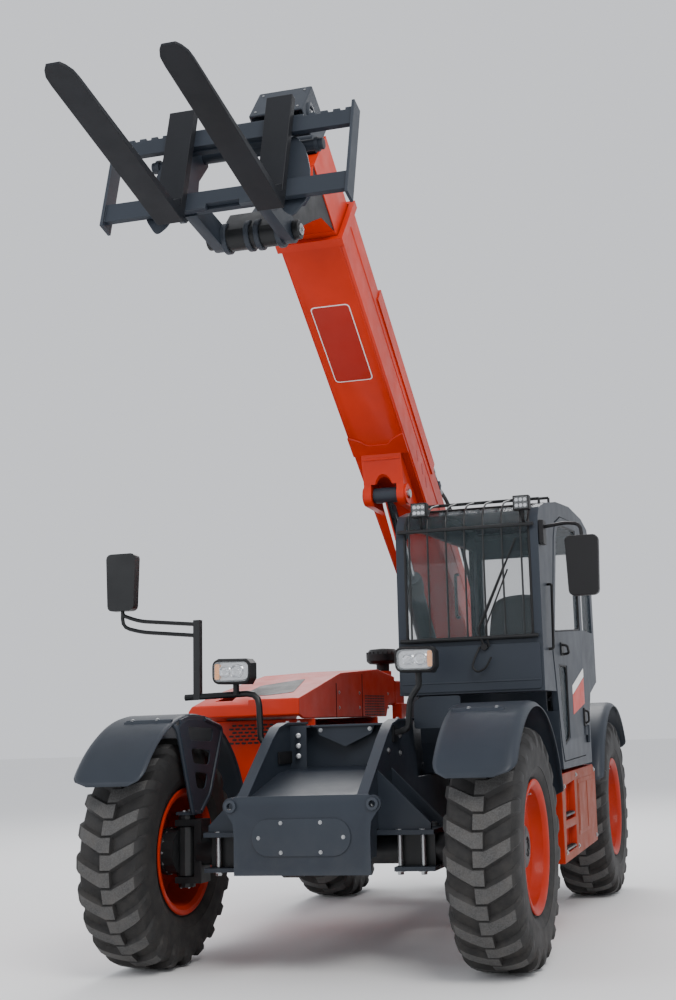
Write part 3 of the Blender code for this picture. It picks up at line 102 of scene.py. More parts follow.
class Finish:
    """A material to which nodes are added, with their inputs set or linked."""

    def __init__(self, made):
        self.made = made
        made.use_nodes = True
        self.shader = self.made.node_tree.nodes["Principled BSDF"]
        self.place = self.add("TexCoord", "Object", {})

    def put(self, inputs, key, value):
        if hasattr(value, "is_linked"):
            self.made.node_tree.links.new(value, inputs[key])
        else:
            inputs[key].default_value = value

    def add(self, kind, output, inputs, **settings):
        node = self.made.node_tree.nodes.new("ShaderNode" + kind)
        for key, value in settings.items():
            setattr(node, key, value)
        for key, value in inputs.items():
            self.put(node.inputs, key, value)
        return node.outputs[output]

    def noise(self, scale, detail=4.0, rough=0.55):
        inputs = {"Scale": scale, "Detail": detail, "Roughness": rough, "Vector": self.place}
        return self.add("TexNoise", "Fac", inputs)

    def ramp(self, fac, low, high, first, last):
        return self.add("MapRange", "Result", {"Value": fac, "From Min": low, "From Max": high,
            "To Min": first, "To Max": last})

    def mix(self, fac, first, second):
        ends = [(*value, 1.0) if isinstance(value, tuple) else value for value in (first, second)]
        return self.add("Mix", "Result", {"Factor": fac, "A": ends[0], "B": ends[1]}, data_type="RGBA")

    def bump(self, height, strength):
        normal = self.add("Bump", "Normal", {"Strength": strength, "Distance": BUMP_DISTANCE,
            "Height": height})
        self.put(self.shader.inputs, "Normal", normal)


def surface(name, colour, rough, metallic=0.0, vary=0.12, rough_vary=0.08, grain=350.0, bump=0.02, coat=0.0,
        dust=0.0, dust_height=0.9, wear=0.0, alpha=1.0, specular=0.4, speckled=0.0):
    """A procedural finish: patchy colour and roughness, grain, dust towards the ground and worn edges."""
    finish = Finish(bpy.data.materials.new(name))
    inputs = finish.shader.inputs
    for key, value in (("Metallic", metallic), ("Coat Weight", coat), ("Coat Roughness", 0.12),
            ("Specular IOR Level", specular), ("Alpha", alpha)):
        inputs[key].default_value = value
    darker = tuple(c * (1 - vary) for c in colour)
    lighter = tuple(min(1.0, c * (1 + vary)) for c in colour)
    tone = finish.mix(finish.ramp(finish.noise(1.7), 0.35, 0.65, 0.0, 1.0), darker, lighter)
    smoother, rougher = max(0.02, rough - rough_vary), min(1.0, rough + rough_vary)
    finish.put(inputs, "Roughness", finish.ramp(finish.noise(9.0, 6.0), 0.3, 0.7, smoother, rougher))
    if dust:
        height = finish.add("SeparateXYZ", "Z", {"Vector": finish.place})
        low_down = finish.ramp(height, 0.0, dust_height, dust, 0.0)
        specks = finish.ramp(finish.noise(14.0, 8.0, 0.7), 0.4, 0.68, 0.15, 1.0)
        dusty = finish.add("Math", "Value", {0: low_down, 1: specks}, operation="MULTIPLY")
        tone = finish.mix(dusty, tone, DUST_COLOUR)
    if speckled:
        grains = finish.ramp(finish.noise(130.0, 5.0, 0.7), 0.42, 0.62, 0.0, speckled)
        tone = finish.mix(grains, tone, tuple(c * 2.4 + 0.02 for c in colour))
    if wear:
        edge = finish.ramp(finish.add("NewGeometry", "Pointiness", {}), 0.53, 0.6, 0.0, wear)
        tone = finish.mix(edge, tone, tuple(min(1.0, c * 1.7 + 0.05) for c in colour))
    finish.put(inputs, "Base Color", tone)
    if bump:
        finish.bump(finish.noise(grain, 3.0), bump)
    return finish.made


def woven(name, colour):
    """Seat cloth: two crossed waves for the weave."""
    finish = Finish(surface(name, colour, 0.9, bump=0.0))
    finish.shader.inputs["Sheen Weight"].default_value = 0.3
    waves = [finish.add("TexWave", "Fac", {"Scale": 160.0, "Vector": finish.place}, bands_direction=axis)
        for axis in ("X", "Z")]
    finish.bump(finish.add("Math", "Value", {0: waves[0], 1: waves[1]}, operation="MAXIMUM"), 0.4)
    return finish.made


MATERIALS = {"orange": surface("orange_paint_look", (0.5, 0.02, 0.001), 0.42, coat=0.1, vary=0.14, dust=0.15,
    wear=0.1, specular=0.25), "rim": surface("rim_paint_look", (0.33, 0.014, 0.001), 0.5, coat=0.05,
    vary=0.15, dust=0.06, dust_height=1.3, wear=0.05, specular=0.15),
    "copper": surface("side_panel_look", (0.22, 0.035, 0.01), 0.5, metallic=0.15, vary=0.12, dust=0.05,
    wear=0.05, specular=0.15), "slate": surface("slate_paint_look", (0.018, 0.024, 0.034), 0.48, coat=0.05,
    vary=0.12, rough_vary=0.04, dust=0.12, wear=0.2, specular=0.28),
    "black": surface("black_paint_look", (0.006, 0.0068, 0.008), 0.42, vary=0.25, dust=0.1, wear=0.15,
    specular=0.3), "fork": surface("fork_steel_look", (0.0055, 0.0065, 0.009), 0.5, vary=0.3, wear=0.2,
    bump=0.05, specular=0.22), "rubber": surface("tyre_rubber_look", (0.0085, 0.0085, 0.009), 0.72, vary=0.3,
    grain=160.0, bump=0.2, dust=0.12, dust_height=1.5, wear=0.1), "tread": surface("worn_tread_look",
    (0.028, 0.028, 0.028), 0.9, vary=0.45, grain=90.0, bump=0.8, dust=0.3, dust_height=1.9, wear=0.2,
    speckled=0.75), "plastic": surface("black_plastic_look", (0.007, 0.007, 0.008), 0.5, vary=0.2,
    grain=500.0, bump=0.15, specular=0.3), "chrome": surface("chrome_look", (0.72, 0.73, 0.75), 0.1,
    metallic=1.0, vary=0.04, rough_vary=0.05, bump=0.0), "zinc": surface("zinc_bolt_look", (0.4, 0.41, 0.42),
    0.38, metallic=0.9, vary=0.15, bump=0.05), "glass": surface("tinted_glass_look", (0.1, 0.13, 0.14), 0.03,
    vary=0.05, rough_vary=0.01, bump=0.0, alpha=0.14), "lens": surface("lamp_lens_look", (0.55, 0.58, 0.6),
    0.05, vary=0.05, rough_vary=0.02, bump=0.0, coat=0.4, alpha=0.16),
    "amber": surface("amber_lens_look", (0.9, 0.32, 0.02), 0.12, vary=0.1, bump=0.0, coat=0.8),
    "mirror": surface("mirror_glass_look", (0.8, 0.82, 0.84), 0.03, metallic=1.0, vary=0.02, rough_vary=0.01,
    bump=0.0), "white": surface("white_line_look", (0.8, 0.8, 0.78), 0.5, vary=0.06, bump=0.02),
    # The sign finish is the blank sign's own ground colour, and also painted shade inside the boom's side slots.
    "sign": surface("sign_ground_and_slot_shade_look", (0.36, 0.014, 0.006), 0.45, vary=0.08, bump=0.02),
    "iron": surface("engine_iron_look", (0.06, 0.06, 0.065), 0.6, metallic=0.4, vary=0.3, bump=0.3,
    grain=120.0), "cloth": woven("seat_cloth_look", (0.035, 0.036, 0.04))}


# ---- shapes ----
def linked(name, data):
    made = bpy.data.objects.new(name, data)
    bpy.context.collection.objects.link(made)
    return made


def as_mesh(bm, name):
    mesh = bpy.data.meshes.new(name)
    bm.to_mesh(mesh)
    bm.free()
    return mesh


def arc(centre, radius, start, end, steps):
    angles = [math.radians(start + (end - start) * i / steps) for i in range(steps + 1)]
    return [(centre[0] + radius * math.cos(a), centre[1] + radius * math.sin(a)) for a in angles]


def stadium(left, right, y, radius, steps):
    """A slot with round ends about the two centres."""
    return arc((right, y), radius, -90, 90, steps) + arc((left, y), radius, 90, 270, steps)


def oblong(x, y):
    return [(x[0], y[0]), (x[1], y[0]), (x[1], y[1]), (x[0], y[1])]


def about(mid, half):
    return mid - half, mid + half


def circle(count, radius, shift=0.0):
    """Evenly spaced (sine, cosine) places round a centre."""
    turns = [2 * math.pi * (i + shift) / count for i in range(count)]
    return [(radius * math.sin(turn), radius * math.cos(turn)) for turn in turns]


def rounded(points, bend, steps=5, closed=False):
    """A path or outline whose corners are rounded by quadratic curves."""
    points = [Vector(p) for p in points]
    count = len(points)
    path = [] if closed else [points[0]]
    for i in range(count) if closed else range(1, count - 1):
        before, corner, after = points[i - 1], points[i], points[(i + 1) % count]
        reach = min(bend, (before - corner).length * 0.48, (after - corner).length * 0.48)
        enter = corner + (before - corner).normalized() * reach
        leave = corner + (after - corner).normalized() * reach
        for k in range(steps + 1):
            t = k / steps
            path.append(enter * (1 - t) ** 2 + corner * 2 * t * (1 - t) + leave * t ** 2)
    return path if closed else path + [points[-1]]


class Shape:
    """Collects simple solids in one mesh, each placed by a matrix."""

    def __init__(self, matrix=ORIGIN):
        self.bm = bmesh.new()
        self.matrix = matrix

    def _verts(self, points):
        return [self.bm.verts.new(self.matrix @ Vector(p)) for p in points]

    def _bridge(self, first, second):
        """Faces between two closed rings, either of which may be a single point."""
        count = max(len(first), len(second))
        for i in range(count if count > 1 else 0):
            j = (i + 1) % count
            if len(first) == 1:
                self.bm.faces.new((first[0], second[i], second[j]))
            elif len(second) == 1:
                self.bm.faces.new((first[i], first[j], second[0]))
            else:
                self.bm.faces.new((first[i], first[j], second[j], second[i]))

    def block(self, x, y, z):
        x = sorted(x)
        corners = self._verts([(x[i], y[j], z[k]) for i in (0, 1) for j in (0, 1) for k in (0, 1)])
        for face in ((0, 1, 3, 2), (4, 6, 7, 5), (0, 4, 5, 1), (2, 3, 7, 6), (0, 2, 6, 4), (1, 5, 7, 3)):
            self.bm.faces.new([corners[i] for i in face])
        return self

    def slab(self, outline, axis, low, high):
        """(y, z) points along X, (x, z) along Y, (x, y) along Z."""
        order = {"X": (2, 0, 1), "Y": (0, 2, 1), "Z": (0, 1, 2)}[axis]
        near, far = [self._verts([[(p[0], p[1], level)[k] for k in order] for p in outline])
            for level in (low, high)]
        self.bm.faces.new(near)
        self.bm.faces.new(far)
        self._bridge(near, far)
        return self

    def plate(self, outline, bend, steps, axis, low, high):
        """A slab with round corners."""
        return self.slab(rounded(outline, bend, steps, True), axis, low, high)

    def lathe(self, profile, at=(0, 0, 0), along=LEFT, sides=32):
        """A closed profile of (distance, radius) turned about a line."""
        along = Vector(along).normalized()
        side = along.orthogonal().normalized()
        other = along.cross(side)
        rings = []
        for distance, radius in profile:
            if radius == 0:
                rings.append(self._verts([Vector(at) + along * distance]))
                continue
            rings.append(self._verts([Vector(at) + along * distance + side * radius * c + other * radius * s
                for s, c in circle(sides, 1)]))
        for first, second in zip(rings, rings[1:] + rings[:1]):
            self._bridge(first, second)
        return self

    def rod(self, start, end, radius, sides=20):
        start, end = Vector(start), Vector(end)
        length = (end - start).length
        edge = min(radius, length) * 0.08
        profile = [(0, 0), (0, radius - edge), (edge, radius), (length - edge, radius),
            (length, radius - edge), (length, 0)]
        return self.lathe(profile, start, end - start, sides)

    def tube(self, points, radius, bend=0.05, sides=12, steps=6):
        path = rounded(points, bend, steps)
        rings, side = [], None
        for i, point in enumerate(path):
            ahead = (path[min(i + 1, len(path) - 1)] - path[max(i - 1, 0)]).normalized()
            side = (side - ahead * side.dot(ahead) if rings else ahead.orthogonal()).normalized()
            other = ahead.cross(side)
            rings.append(self._verts([point + side * radius * c + other * radius * s for s,
                c in circle(sides, 1)]))
        for first, second in zip(rings, rings[1:]):
            self._bridge(first, second)
        self.bm.faces.new(rings[0])
        self.bm.faces.new(rings[-1])
        return self

    def bolt(self, at, along, radius=0.011, height=0.009):
        """A hexagon head on its washer."""
        washer = [(0, 0), (0, radius * 1.5), (height * 0.2, radius * 1.5), (height * 0.2, 0)]
        head = [(height * 0.2, 0), (height * 0.2, radius), (height * 0.85, radius), (height, radius * 0.8),
            (height, 0)]
        self.lathe(washer, at, along, 16)
        return self.lathe(head, at, along, 6)

    def grid(self, rows):
        """A sheet through rows of points."""
        lines = [self._verts(row) for row in rows]
        for first, second in zip(lines, lines[1:]):
            for i in range(len(first) - 1):
                self.bm.faces.new((first[i], first[i + 1], second[i + 1], second[i]))
        return self

    def mesh(self):
        bmesh.ops.recalc_face_normals(self.bm, faces=self.bm.faces)
        return as_mesh(self.bm, "shape")


def piece(name, shape, finish, body="machine", replaces=(), bevel=0.0, solid=0.0, smooth=35):
    """Links a mesh, gives it its material and its body, and rounds its edges."""
    mesh = shape.mesh() if isinstance(shape, Shape) else shape
    mesh.materials.clear()
    mesh.materials.append(MATERIALS[finish])
    mesh.shade_smooth()
    mesh.set_sharp_from_angle(angle=math.radians(smooth))
    made = linked(name, mesh)
    if solid:
        thick = made.modifiers.new("thickness", "SOLIDIFY")
        thick.thickness = solid
        thick.offset = 0
    if bevel:
        soft = made.modifiers.new("edges", "BEVEL")
        soft.width = bevel
        soft.segments = 2
        soft.limit_method = "ANGLE"
        soft.angle_limit = math.radians(30)
        soft.harden_normals = True
        soft.use_clamp_overlap = True
    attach(made, body)
    if replaces:
        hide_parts(*replaces)
    return made


def cut(mesh, *cutters, operation="DIFFERENCE"):
    """A mesh with others cut out of it, or kept only inside them."""
    host = linked("host", mesh)
    helpers = [host]
    for cutter in cutters:
        helpers.append(linked("cutter", cutter))
        step = host.modifiers.new("cut", "BOOLEAN")
        step.operation = operation
        step.solver = "EXACT"
        step.object = helpers[-1]
    made = bpy.data.meshes.new_from_object(host.evaluated_get(bpy.context.evaluated_depsgraph_get()))
    for helper in helpers:
        bpy.data.objects.remove(helper, do_unlink=True)
    return made


def cad_mesh(node):
    """A clean copy of a CAD node's mesh, with its flat faces whole again."""
    source = frame["nodes"][node]
    bm = bmesh.new()
    bm.from_mesh(source.data)
    bmesh.ops.transform(bm, matrix=source.matrix_world, verts=bm.verts)
    bmesh.ops.remove_doubles(bm, verts=bm.verts, dist=0.00002)
    bmesh.ops.dissolve_limit(bm, angle_limit=math.radians(0.6), verts=bm.verts, edges=bm.edges)
    return as_mesh(bm, node)


def softened(node, finish, bevel, *cutters):
    """Stands in for a CAD node with the same shape and rounded edges."""
    mesh = cad_mesh(node)
    if cutters:
        mesh = cut(mesh, *cutters)
    body = next(name for name, nodes in frame["record"]["behaviour"]["bodies"].items() if node in nodes)
    return piece(node + "_finished", mesh, finish, body, (node,), bevel=bevel)


def repaint(made, finish, wanted):
    """Gives another finish to the faces whose centres are wanted."""
    made.data.materials.append(MATERIALS[finish])
    for face in made.data.polygons:
        if wanted(face.center):
            face.material_index = len(made.data.materials) - 1


def coat_node(node, finish):
    for slot in frame["nodes"][node].material_slots:
        slot.material = MATERIALS[finish]


# ---- wheels ----
# (across, radius) of a lug's top and of its foot, from past the crown to the sidewall
LUG_LINE = ((-0.026, 0.6246, -0.032, 0.59), (0.03, 0.6246, 0.03, 0.59), (0.085, 0.624, 0.085, 0.589),
    (0.13, 0.62, 0.125, 0.586), (0.16, 0.61, 0.15, 0.58), (0.18, 0.592, 0.166, 0.57),
    (0.1905, 0.565, 0.176, 0.553), (0.1915, 0.535, 0.183, 0.532), (0.1895, 0.51, 0.187, 0.508))

LUGS = 22                   # on each side of the tyre
TYRE_HALF = 0.1925
LUG_HALF, SPREAD = 0.061, 1.7          # half a lug's angle, and how much wider its foot is
CROWN_SWEEP, EDGE_SWEEP = 0.135, 0.05       # angles that a lug leans across the crown and down the sidewall
WORN_DEPTH = 0.012          # of the lugs' pale, worn tops


def tyre(corner):
    """A carcass with sidewall ribs and two staggered rows of slanted lugs that wrap over the shoulders."""
    centre = middle(corner + "_tyre")
    shape = Shape(move(centre))
    right = [(0.15, 0.3155), (0.152, 0.352), (0.162, 0.362), (0.176, 0.385), (0.184, 0.41), (0.187, 0.412),
        (0.187, 0.422), (0.187, 0.425), (0.19, 0.47), (0.19, 0.505), (0.186, 0.53), (0.176, 0.562),
        (0.158, 0.585), (0.12, 0.594), (0.06, 0.597)]
    shape.lathe(right + [(-x, radius) for x, radius in reversed(right)], sides=96)
    for side in (-1, 1):
        for i in range(LUGS):
            base = 2 * math.pi * (i + (0.5 if side > 0 else 0.0)) / LUGS
            rows = []
            for a, radius, root_a, root_radius in LUG_LINE:
                sweep = CROWN_SWEEP * max(0.0, a - 0.03) / 0.16
                sweep += EDGE_SWEEP * max(0.0, (TYRE_RADIUS - radius) / 0.1)
                wide = LUG_HALF - 0.012 * max(a, 0) / TYRE_HALF
                row = []
                top, foot = (a, radius), (root_a, root_radius)
                for turn, (at_a, at_radius) in ((-SPREAD, foot), (-1, top), (1, top), (SPREAD, foot)):
                    angle = base + sweep + turn * wide
                    row.append((side * at_a, at_radius * math.sin(angle), at_radius * math.cos(angle)))
                rows.append(row + [row[0]])
            shape.grid(rows)
            for end in (rows[0], rows[-1]):
                shape.bm.faces.new(shape._verts(end[:4]))
    bmesh.ops.remove_doubles(shape.bm, verts=shape.bm.verts, dist=0.00005)
    made = piece(corner + "_tyre_treaded", shape, "rubber", corner + "_wheel", (corner + "_tyre",), smooth=28)
    repaint(made, "tread", lambda place: math.hypot(*(place - centre).yz) > TYRE_RADIUS - WORN_DEPTH)


def rim(corner, outward):
    """A turned rim with a dished disc, a dark hub cap, a ring of nuts and a valve."""
    centre = middle(corner + "_rim")
    facing = move(centre) @ (Matrix.Identity(4) if outward > 0 else HALF_TURN)
    shape = Shape(facing)
    profile = [(0.049, 0.11), (0.05, 0.205), (0.054, 0.222), (0.062, 0.236), (0.078, 0.256), (0.086, 0.276),
        (0.1, 0.286), (0.146, 0.296), (0.156, 0.304), (0.166, 0.318), (0.171, 0.333), (0.1715, 0.341),
        (0.168, 0.3465), (0.162, 0.3465), (0.157, 0.34), (0.156, 0.315), (-0.156, 0.315), (-0.157, 0.34),
        (-0.162, 0.3465), (-0.168, 0.3465), (-0.1715, 0.341), (-0.166, 0.318), (-0.15, 0.299), (-0.02, 0.292),
        (0.04, 0.288), (0.045, 0.24), (0.036, 0.222), (0.036, 0.11)]
    shape.lathe(profile, sides=72)
    piece(corner + "_rim_turned", shape, "rim", corner + "_wheel", (corner + "_rim",), smooth=25)
    cap = Shape(facing)
    cap.lathe([(0.034, 0), (0.034, 0.112), (0.1, 0.112), (0.11, 0.106), (0.116, 0.092), (0.119, 0.07),
        (0.119, 0.052), (0.112, 0.05), (0.112, 0)], sides=48)
    cap.lathe([(0.049, 0.1), (0.049, 0.128), (0.062, 0.128), (0.066, 0.122), (0.066, 0.1)], sides=48)
    for y, z in circle(6, 0.04):
        cap.bolt((0.112, y, z), LEFT, 0.006, 0.005)
    piece(corner + "_hub_cap", cap, "black", corner + "_wheel", smooth=25)
    nuts = Shape(facing)
    for y, z in circle(10, 0.168, 0.5):
        nuts.bolt((0.05, y, z), LEFT, 0.015, 0.02)
        nuts.rod((0.06, y, z), (0.079, y, z), 0.008, 12)
    nuts.tube([(0.085, 0, 0.262), (0.11, 0, 0.268), (0.15, 0, 0.27)], 0.005, 0.01, 10)
    piece(corner + "_wheel_nuts", nuts, "zinc", corner + "_wheel")


FENDER_RADIUS = 0.758
FENDER_IN, FENDER_OUT = -0.05, 0.375       # from the kingpin


def fender(corner, outward, forward):
    """A rolled mudguard with round flap corners and a bolted strap, on a pierced bracket with tube rails."""
    place = axle_frame(outward * KINGPIN_X, forward, outward)
    body = corner + "_steered_hub"
    first, last, steps, columns = 149.0, 17.0, 56, 18
    front_corner, rear_corner = 0.11, 0.05
    rows = []
    for i in range(steps + 1):
        angle = math.radians(first + (last - first) * i / steps)
        from_front = (math.radians(first) - angle) * FENDER_RADIUS
        from_rear = (angle - math.radians(last)) * FENDER_RADIUS
        trim = 0.0
        for reach, bend in ((from_front, front_corner), (from_rear, rear_corner)):
            if reach < bend:
                trim = max(trim, bend - math.sqrt(max(0.0, bend ** 2 - (bend - reach) ** 2)))
        low_x, high_x = FENDER_IN + trim * 0.7, FENDER_OUT - trim
        row = []
        for k in range(columns + 1):
            x = low_x + (high_x - low_x) * k / columns
            fall = max(0.0, x - (FENDER_OUT - 0.045)) / 0.045
            inner_fall = max(0.0, (FENDER_IN + 0.02) - x) / 0.02
            radius = FENDER_RADIUS - 0.003 - 0.028 * fall ** 2 - 0.006 * inner_fall ** 2
            row.append((x, radius * math.cos(angle), radius * math.sin(angle)))
        rows.append(row)
    sheet = Shape(place).grid(rows)
    piece(corner + "_fender_sheet", sheet, "slate", body, (corner + "_fender",), solid=0.005, smooth=60)
    rail_x = FENDER_IN - 0.01
    high, low = FENDER_RADIUS - 0.032, 0.1965
    outline = [(-0.235, 0.69), (-0.12, high), (0.13, high), (0.33, 0.655), (0.165, 0.3), (0.045, low + 0.006),
        (-0.055, low + 0.006)]
    plate = Shape(place).plate(outline, 0.03, 4, "X", rail_x - 0.004, rail_x + 0.004).mesh()
    holes = []
    for hole in ([(-0.12, 0.685), (0.22, 0.67), (0.2, 0.595), (-0.09, 0.61)],
            [(-0.075, 0.565), (0.18, 0.545), (0.155, 0.465), (-0.045, 0.48)],
            [(-0.03, 0.435), (0.14, 0.415), (0.105, 0.33), (0.0, 0.34)]):
        holes.append(Shape(place).plate(hole, 0.03, 5, "X", rail_x - 0.05, rail_x + 0.05).mesh())
    piece(corner + "_fender_bracket", cut(plate, *holes), "slate", body, bevel=0.0015)
    rails = Shape(place)
    rails.tube([(FENDER_OUT - 0.12, -0.25, high - 0.018), (rail_x, -0.25, high - 0.022),
        (rail_x, -0.05, low + 0.014), (rail_x, -0.01, low + 0.01)], 0.014, 0.06)
    rails.tube([(rail_x, 0.1, high - 0.002), (rail_x, 0.345, 0.672), (rail_x, 0.17, 0.3),
        (rail_x, 0.05, low + 0.012)], 0.014, 0.05)
    rails.slab([(-0.2, 0.7), (0.2, 0.7), (0.2, 0.725), (0.1, 0.744), (-0.1, 0.744), (-0.2, 0.725)], "X",
        rail_x - 0.003, rail_x + 0.012)
    rails.block((rail_x - 0.006, 0.045), (-0.05, 0.05), (low, low + 0.018))
    piece(corner + "_fender_rails", rails, "slate", body, bevel=0.002)
    bolts = Shape(place)
    for y in (-0.03, 0.03):
        bolts.bolt((0.0, y, low + 0.018), UP, 0.01)
    strap_y, rear_y = -0.245, 0.2
    strap_z = math.sqrt(FENDER_RADIUS ** 2 - strap_y ** 2)
    strap = Shape(place).rod((FENDER_IN + 0.02, strap_y, strap_z), (FENDER_OUT - 0.13, strap_y, strap_z),
        0.012)
    piece(corner + "_fender_strap", strap, "slate", body, bevel=0.002)
    for x in (0.06, 0.21):
        bolts.bolt((x, strap_y, strap_z + 0.01), (0, -0.32, 0.95), 0.009, 0.007)
        bolts.bolt((x, rear_y, math.sqrt(FENDER_RADIUS ** 2 - rear_y ** 2)), (0, 0.26, 0.96), 0.009, 0.007)
    piece(corner + "_fender_bolts", bolts, "zinc", body)


def knuckle(corner, outward, forward):
    """A flange with its ring of bolts, the kingpin's lower bolts and a steering arm."""
    place = axle_frame(outward * KINGPIN_X, forward, outward)
    body = corner + "_steered_hub"
    shape = Shape(place)
    shape.lathe([(0.095, 0), (0.095, 0.132), (0.118, 0.132), (0.124, 0.126), (0.124, 0)], sides=40)
    shape.plate([(-0.02, 0.09), (0.05, 0.09), (-0.02, 0.22), (-0.075, 0.22), (-0.075, 0.19)], 0.02, 4, "Z",
        -0.062, -0.034)
    piece(corner + "_knuckle_arm", shape, "black", body, bevel=0.003)
    bolts = Shape(place)
    for y, z in circle(12, 0.117):
        bolts.bolt((0.095, y, z), (-1, 0, 0), 0.008, 0.008)
    for x, y in circle(4, 0.034, 0.5):
        bolts.bolt((x, y, -0.1965), (0, 0, -1), 0.006, 0.005)
    bolts.bolt((-0.048, 0.205, -0.034), UP, 0.012, 0.012)
    piece(corner + "_knuckle_bolts", bolts, "zinc", body)


def axle(end, forward):
    """Clamp rods with their nuts, and the steering ram behind the beam."""
    place = axle_frame(0, forward)
    nuts = Shape(place)
    for side in (-1, 1):
        for x in (side * 0.456, side * 0.585):
            for y in (-0.115, 0.115):
                nuts.bolt((x, y, 0.107), UP, 0.019, 0.02)
                nuts.bolt((x, y, -0.105), (0, 0, -1), 0.019, 0.02)
                nuts.rod((x, y, -0.079), (x, y, 0.079), 0.0126, 16)
    piece(end + "_clamp_nuts", nuts, "zinc")
    ram = Shape(place)
    ram_y, ram_end = 0.185, 0.22
    ram.rod((-ram_end, ram_y, 0.0), (ram_end, ram_y, 0.0), 0.038, 28)
    for side in (-1, 1):
        ram.rod((side * ram_end, ram_y, 0.0), (side * 0.245, ram_y, 0.0), 0.043, 28)
        ram.block((side * 0.12, side * 0.16), (0.06, 0.16), (-0.03, 0.03))
    piece(end + "_steering_ram", ram, "black", bevel=0.002)


def running_gear():
    for corner, (outward, forward) in CORNERS.items():
        tyre(corner)
        rim(corner, outward)
        fender(corner, outward, forward)
        knuckle(corner, outward, forward)
        coat_node(corner + "_knuckle", "black")
    for end, forward in (("front", 1), ("rear", -1)):
        axle(end, forward)
        softened(end + "_axle", "black", 0.003)
        softened(end + "_axle_cradle", "slate", 0.0025)


# ---- frame ----
BOOM_REST_TOP = 1.31
FRONT_FACE_Y = -0.362 - 0.0203


def frame_details():
    for node, edge in (("chassis", 0.003), ("front_trough", 0.002), ("counterweight", 0.012),
            ("front_plate", 0.0025)):
        softened(node, "slate", edge)
    cover_face = FRONT_FACE_Y - 0.0075
    cover = Shape().slab(stadium(-0.18, 0.18, 0.72, 0.094, 20), "Y", cover_face, FRONT_FACE_Y - 0.003)
    piece("front_cover_plate", cover, "slate", bevel=0.0015)
    bolts = Shape()
    for x, z in ((-0.11, 0.795), (0.11, 0.795), (-0.11, 0.645), (0.11, 0.645), (-0.235, 0.72), (0.235, 0.72)):
        bolts.bolt((x, cover_face, z), AHEAD, 0.007, 0.007)
    for side in (-1, 1):
        for y in (0.3, 0.48):
            bolts.bolt((side * 0.335, y, BOOM_REST_TOP + 0.002), UP, 0.01)
        for y, z in ((-0.25, 0.86), (0.08, 1.14), (0.3, 1.22), (0.3, 1.12)):
            bolts.bolt((side * 0.345, y, z), (side, 0, 0), 0.012)
    for x in (-0.15, 0.15):
        bolts.bolt((x, 0.352, 1.262), AHEAD, 0.008)
    piece("frame_bolts", bolts, "zinc")
    fittings = Shape()
    for z in (1.234, 1.176, 1.118):
        fittings.lathe([(0, 0), (0, 0.015), (0.008, 0.015), (0.01, 0.011), (0.024, 0.011), (0.026, 0.014),
            (0.034, 0.014), (0.036, 0.009), (0.05, 0.009), (0.05, 0)], (-0.27, 0.3005, z), (0.45, -1, 0), 24)
    piece("quick_fittings", fittings, "zinc")
    pads = Shape()
    for side in (-1, 1):
        pads.block((side * 0.308, side * 0.318), (0.1, 0.44), (1.08, 1.15))
    piece("trough_wear_pads", pads, "plastic", bevel=0.003)
    plate = Shape().plate([(0.67, 1.25), (0.39, 1.25), (0.39, 1.4), (0.44, 1.432), (0.67, 1.432)], 0.02, 4,
        "Y", 0.452, 0.458)
    piece("under_cab_plate", plate, "slate", bevel=0.001)
    bosses = Shape()
    for side in (-1, 1):
        bosses.lathe([(0, 0.018), (0, 0.032), (0.006, 0.034), (0.012, 0.032), (0.012, 0.018)],
            (side * 0.395, FRONT_FACE_Y - 0.012, 0.884), (0, 1, 0), 28)
    piece("ear_bosses", bosses, "slate")


# ---- boom ----
HALF, UNDER, OVER = 0.195, -0.194, 0.201        # the outer section's half width, underside and top
LIFT_EYE_Y, LIFT_EYE_Z = -2.337, -0.335         # the lift rod's pin, from the boom's pivot
NOSE_EYE_Y, NOSE_EYE_Z = -4.905, 0.055          # the round boss on each side of the nose cover
COUPLER_TOP, NECK_TOP = -0.62, -0.26            # heights where the inner section changes colour
HOSES = ((0.095, 0.02), (0.13, 0.05), (0.165, 0.08))        # across, and the rise of the hose's arch
SIGN_X, SIGN_Y = (-0.135, 0.115), (-3.78, -3.2)


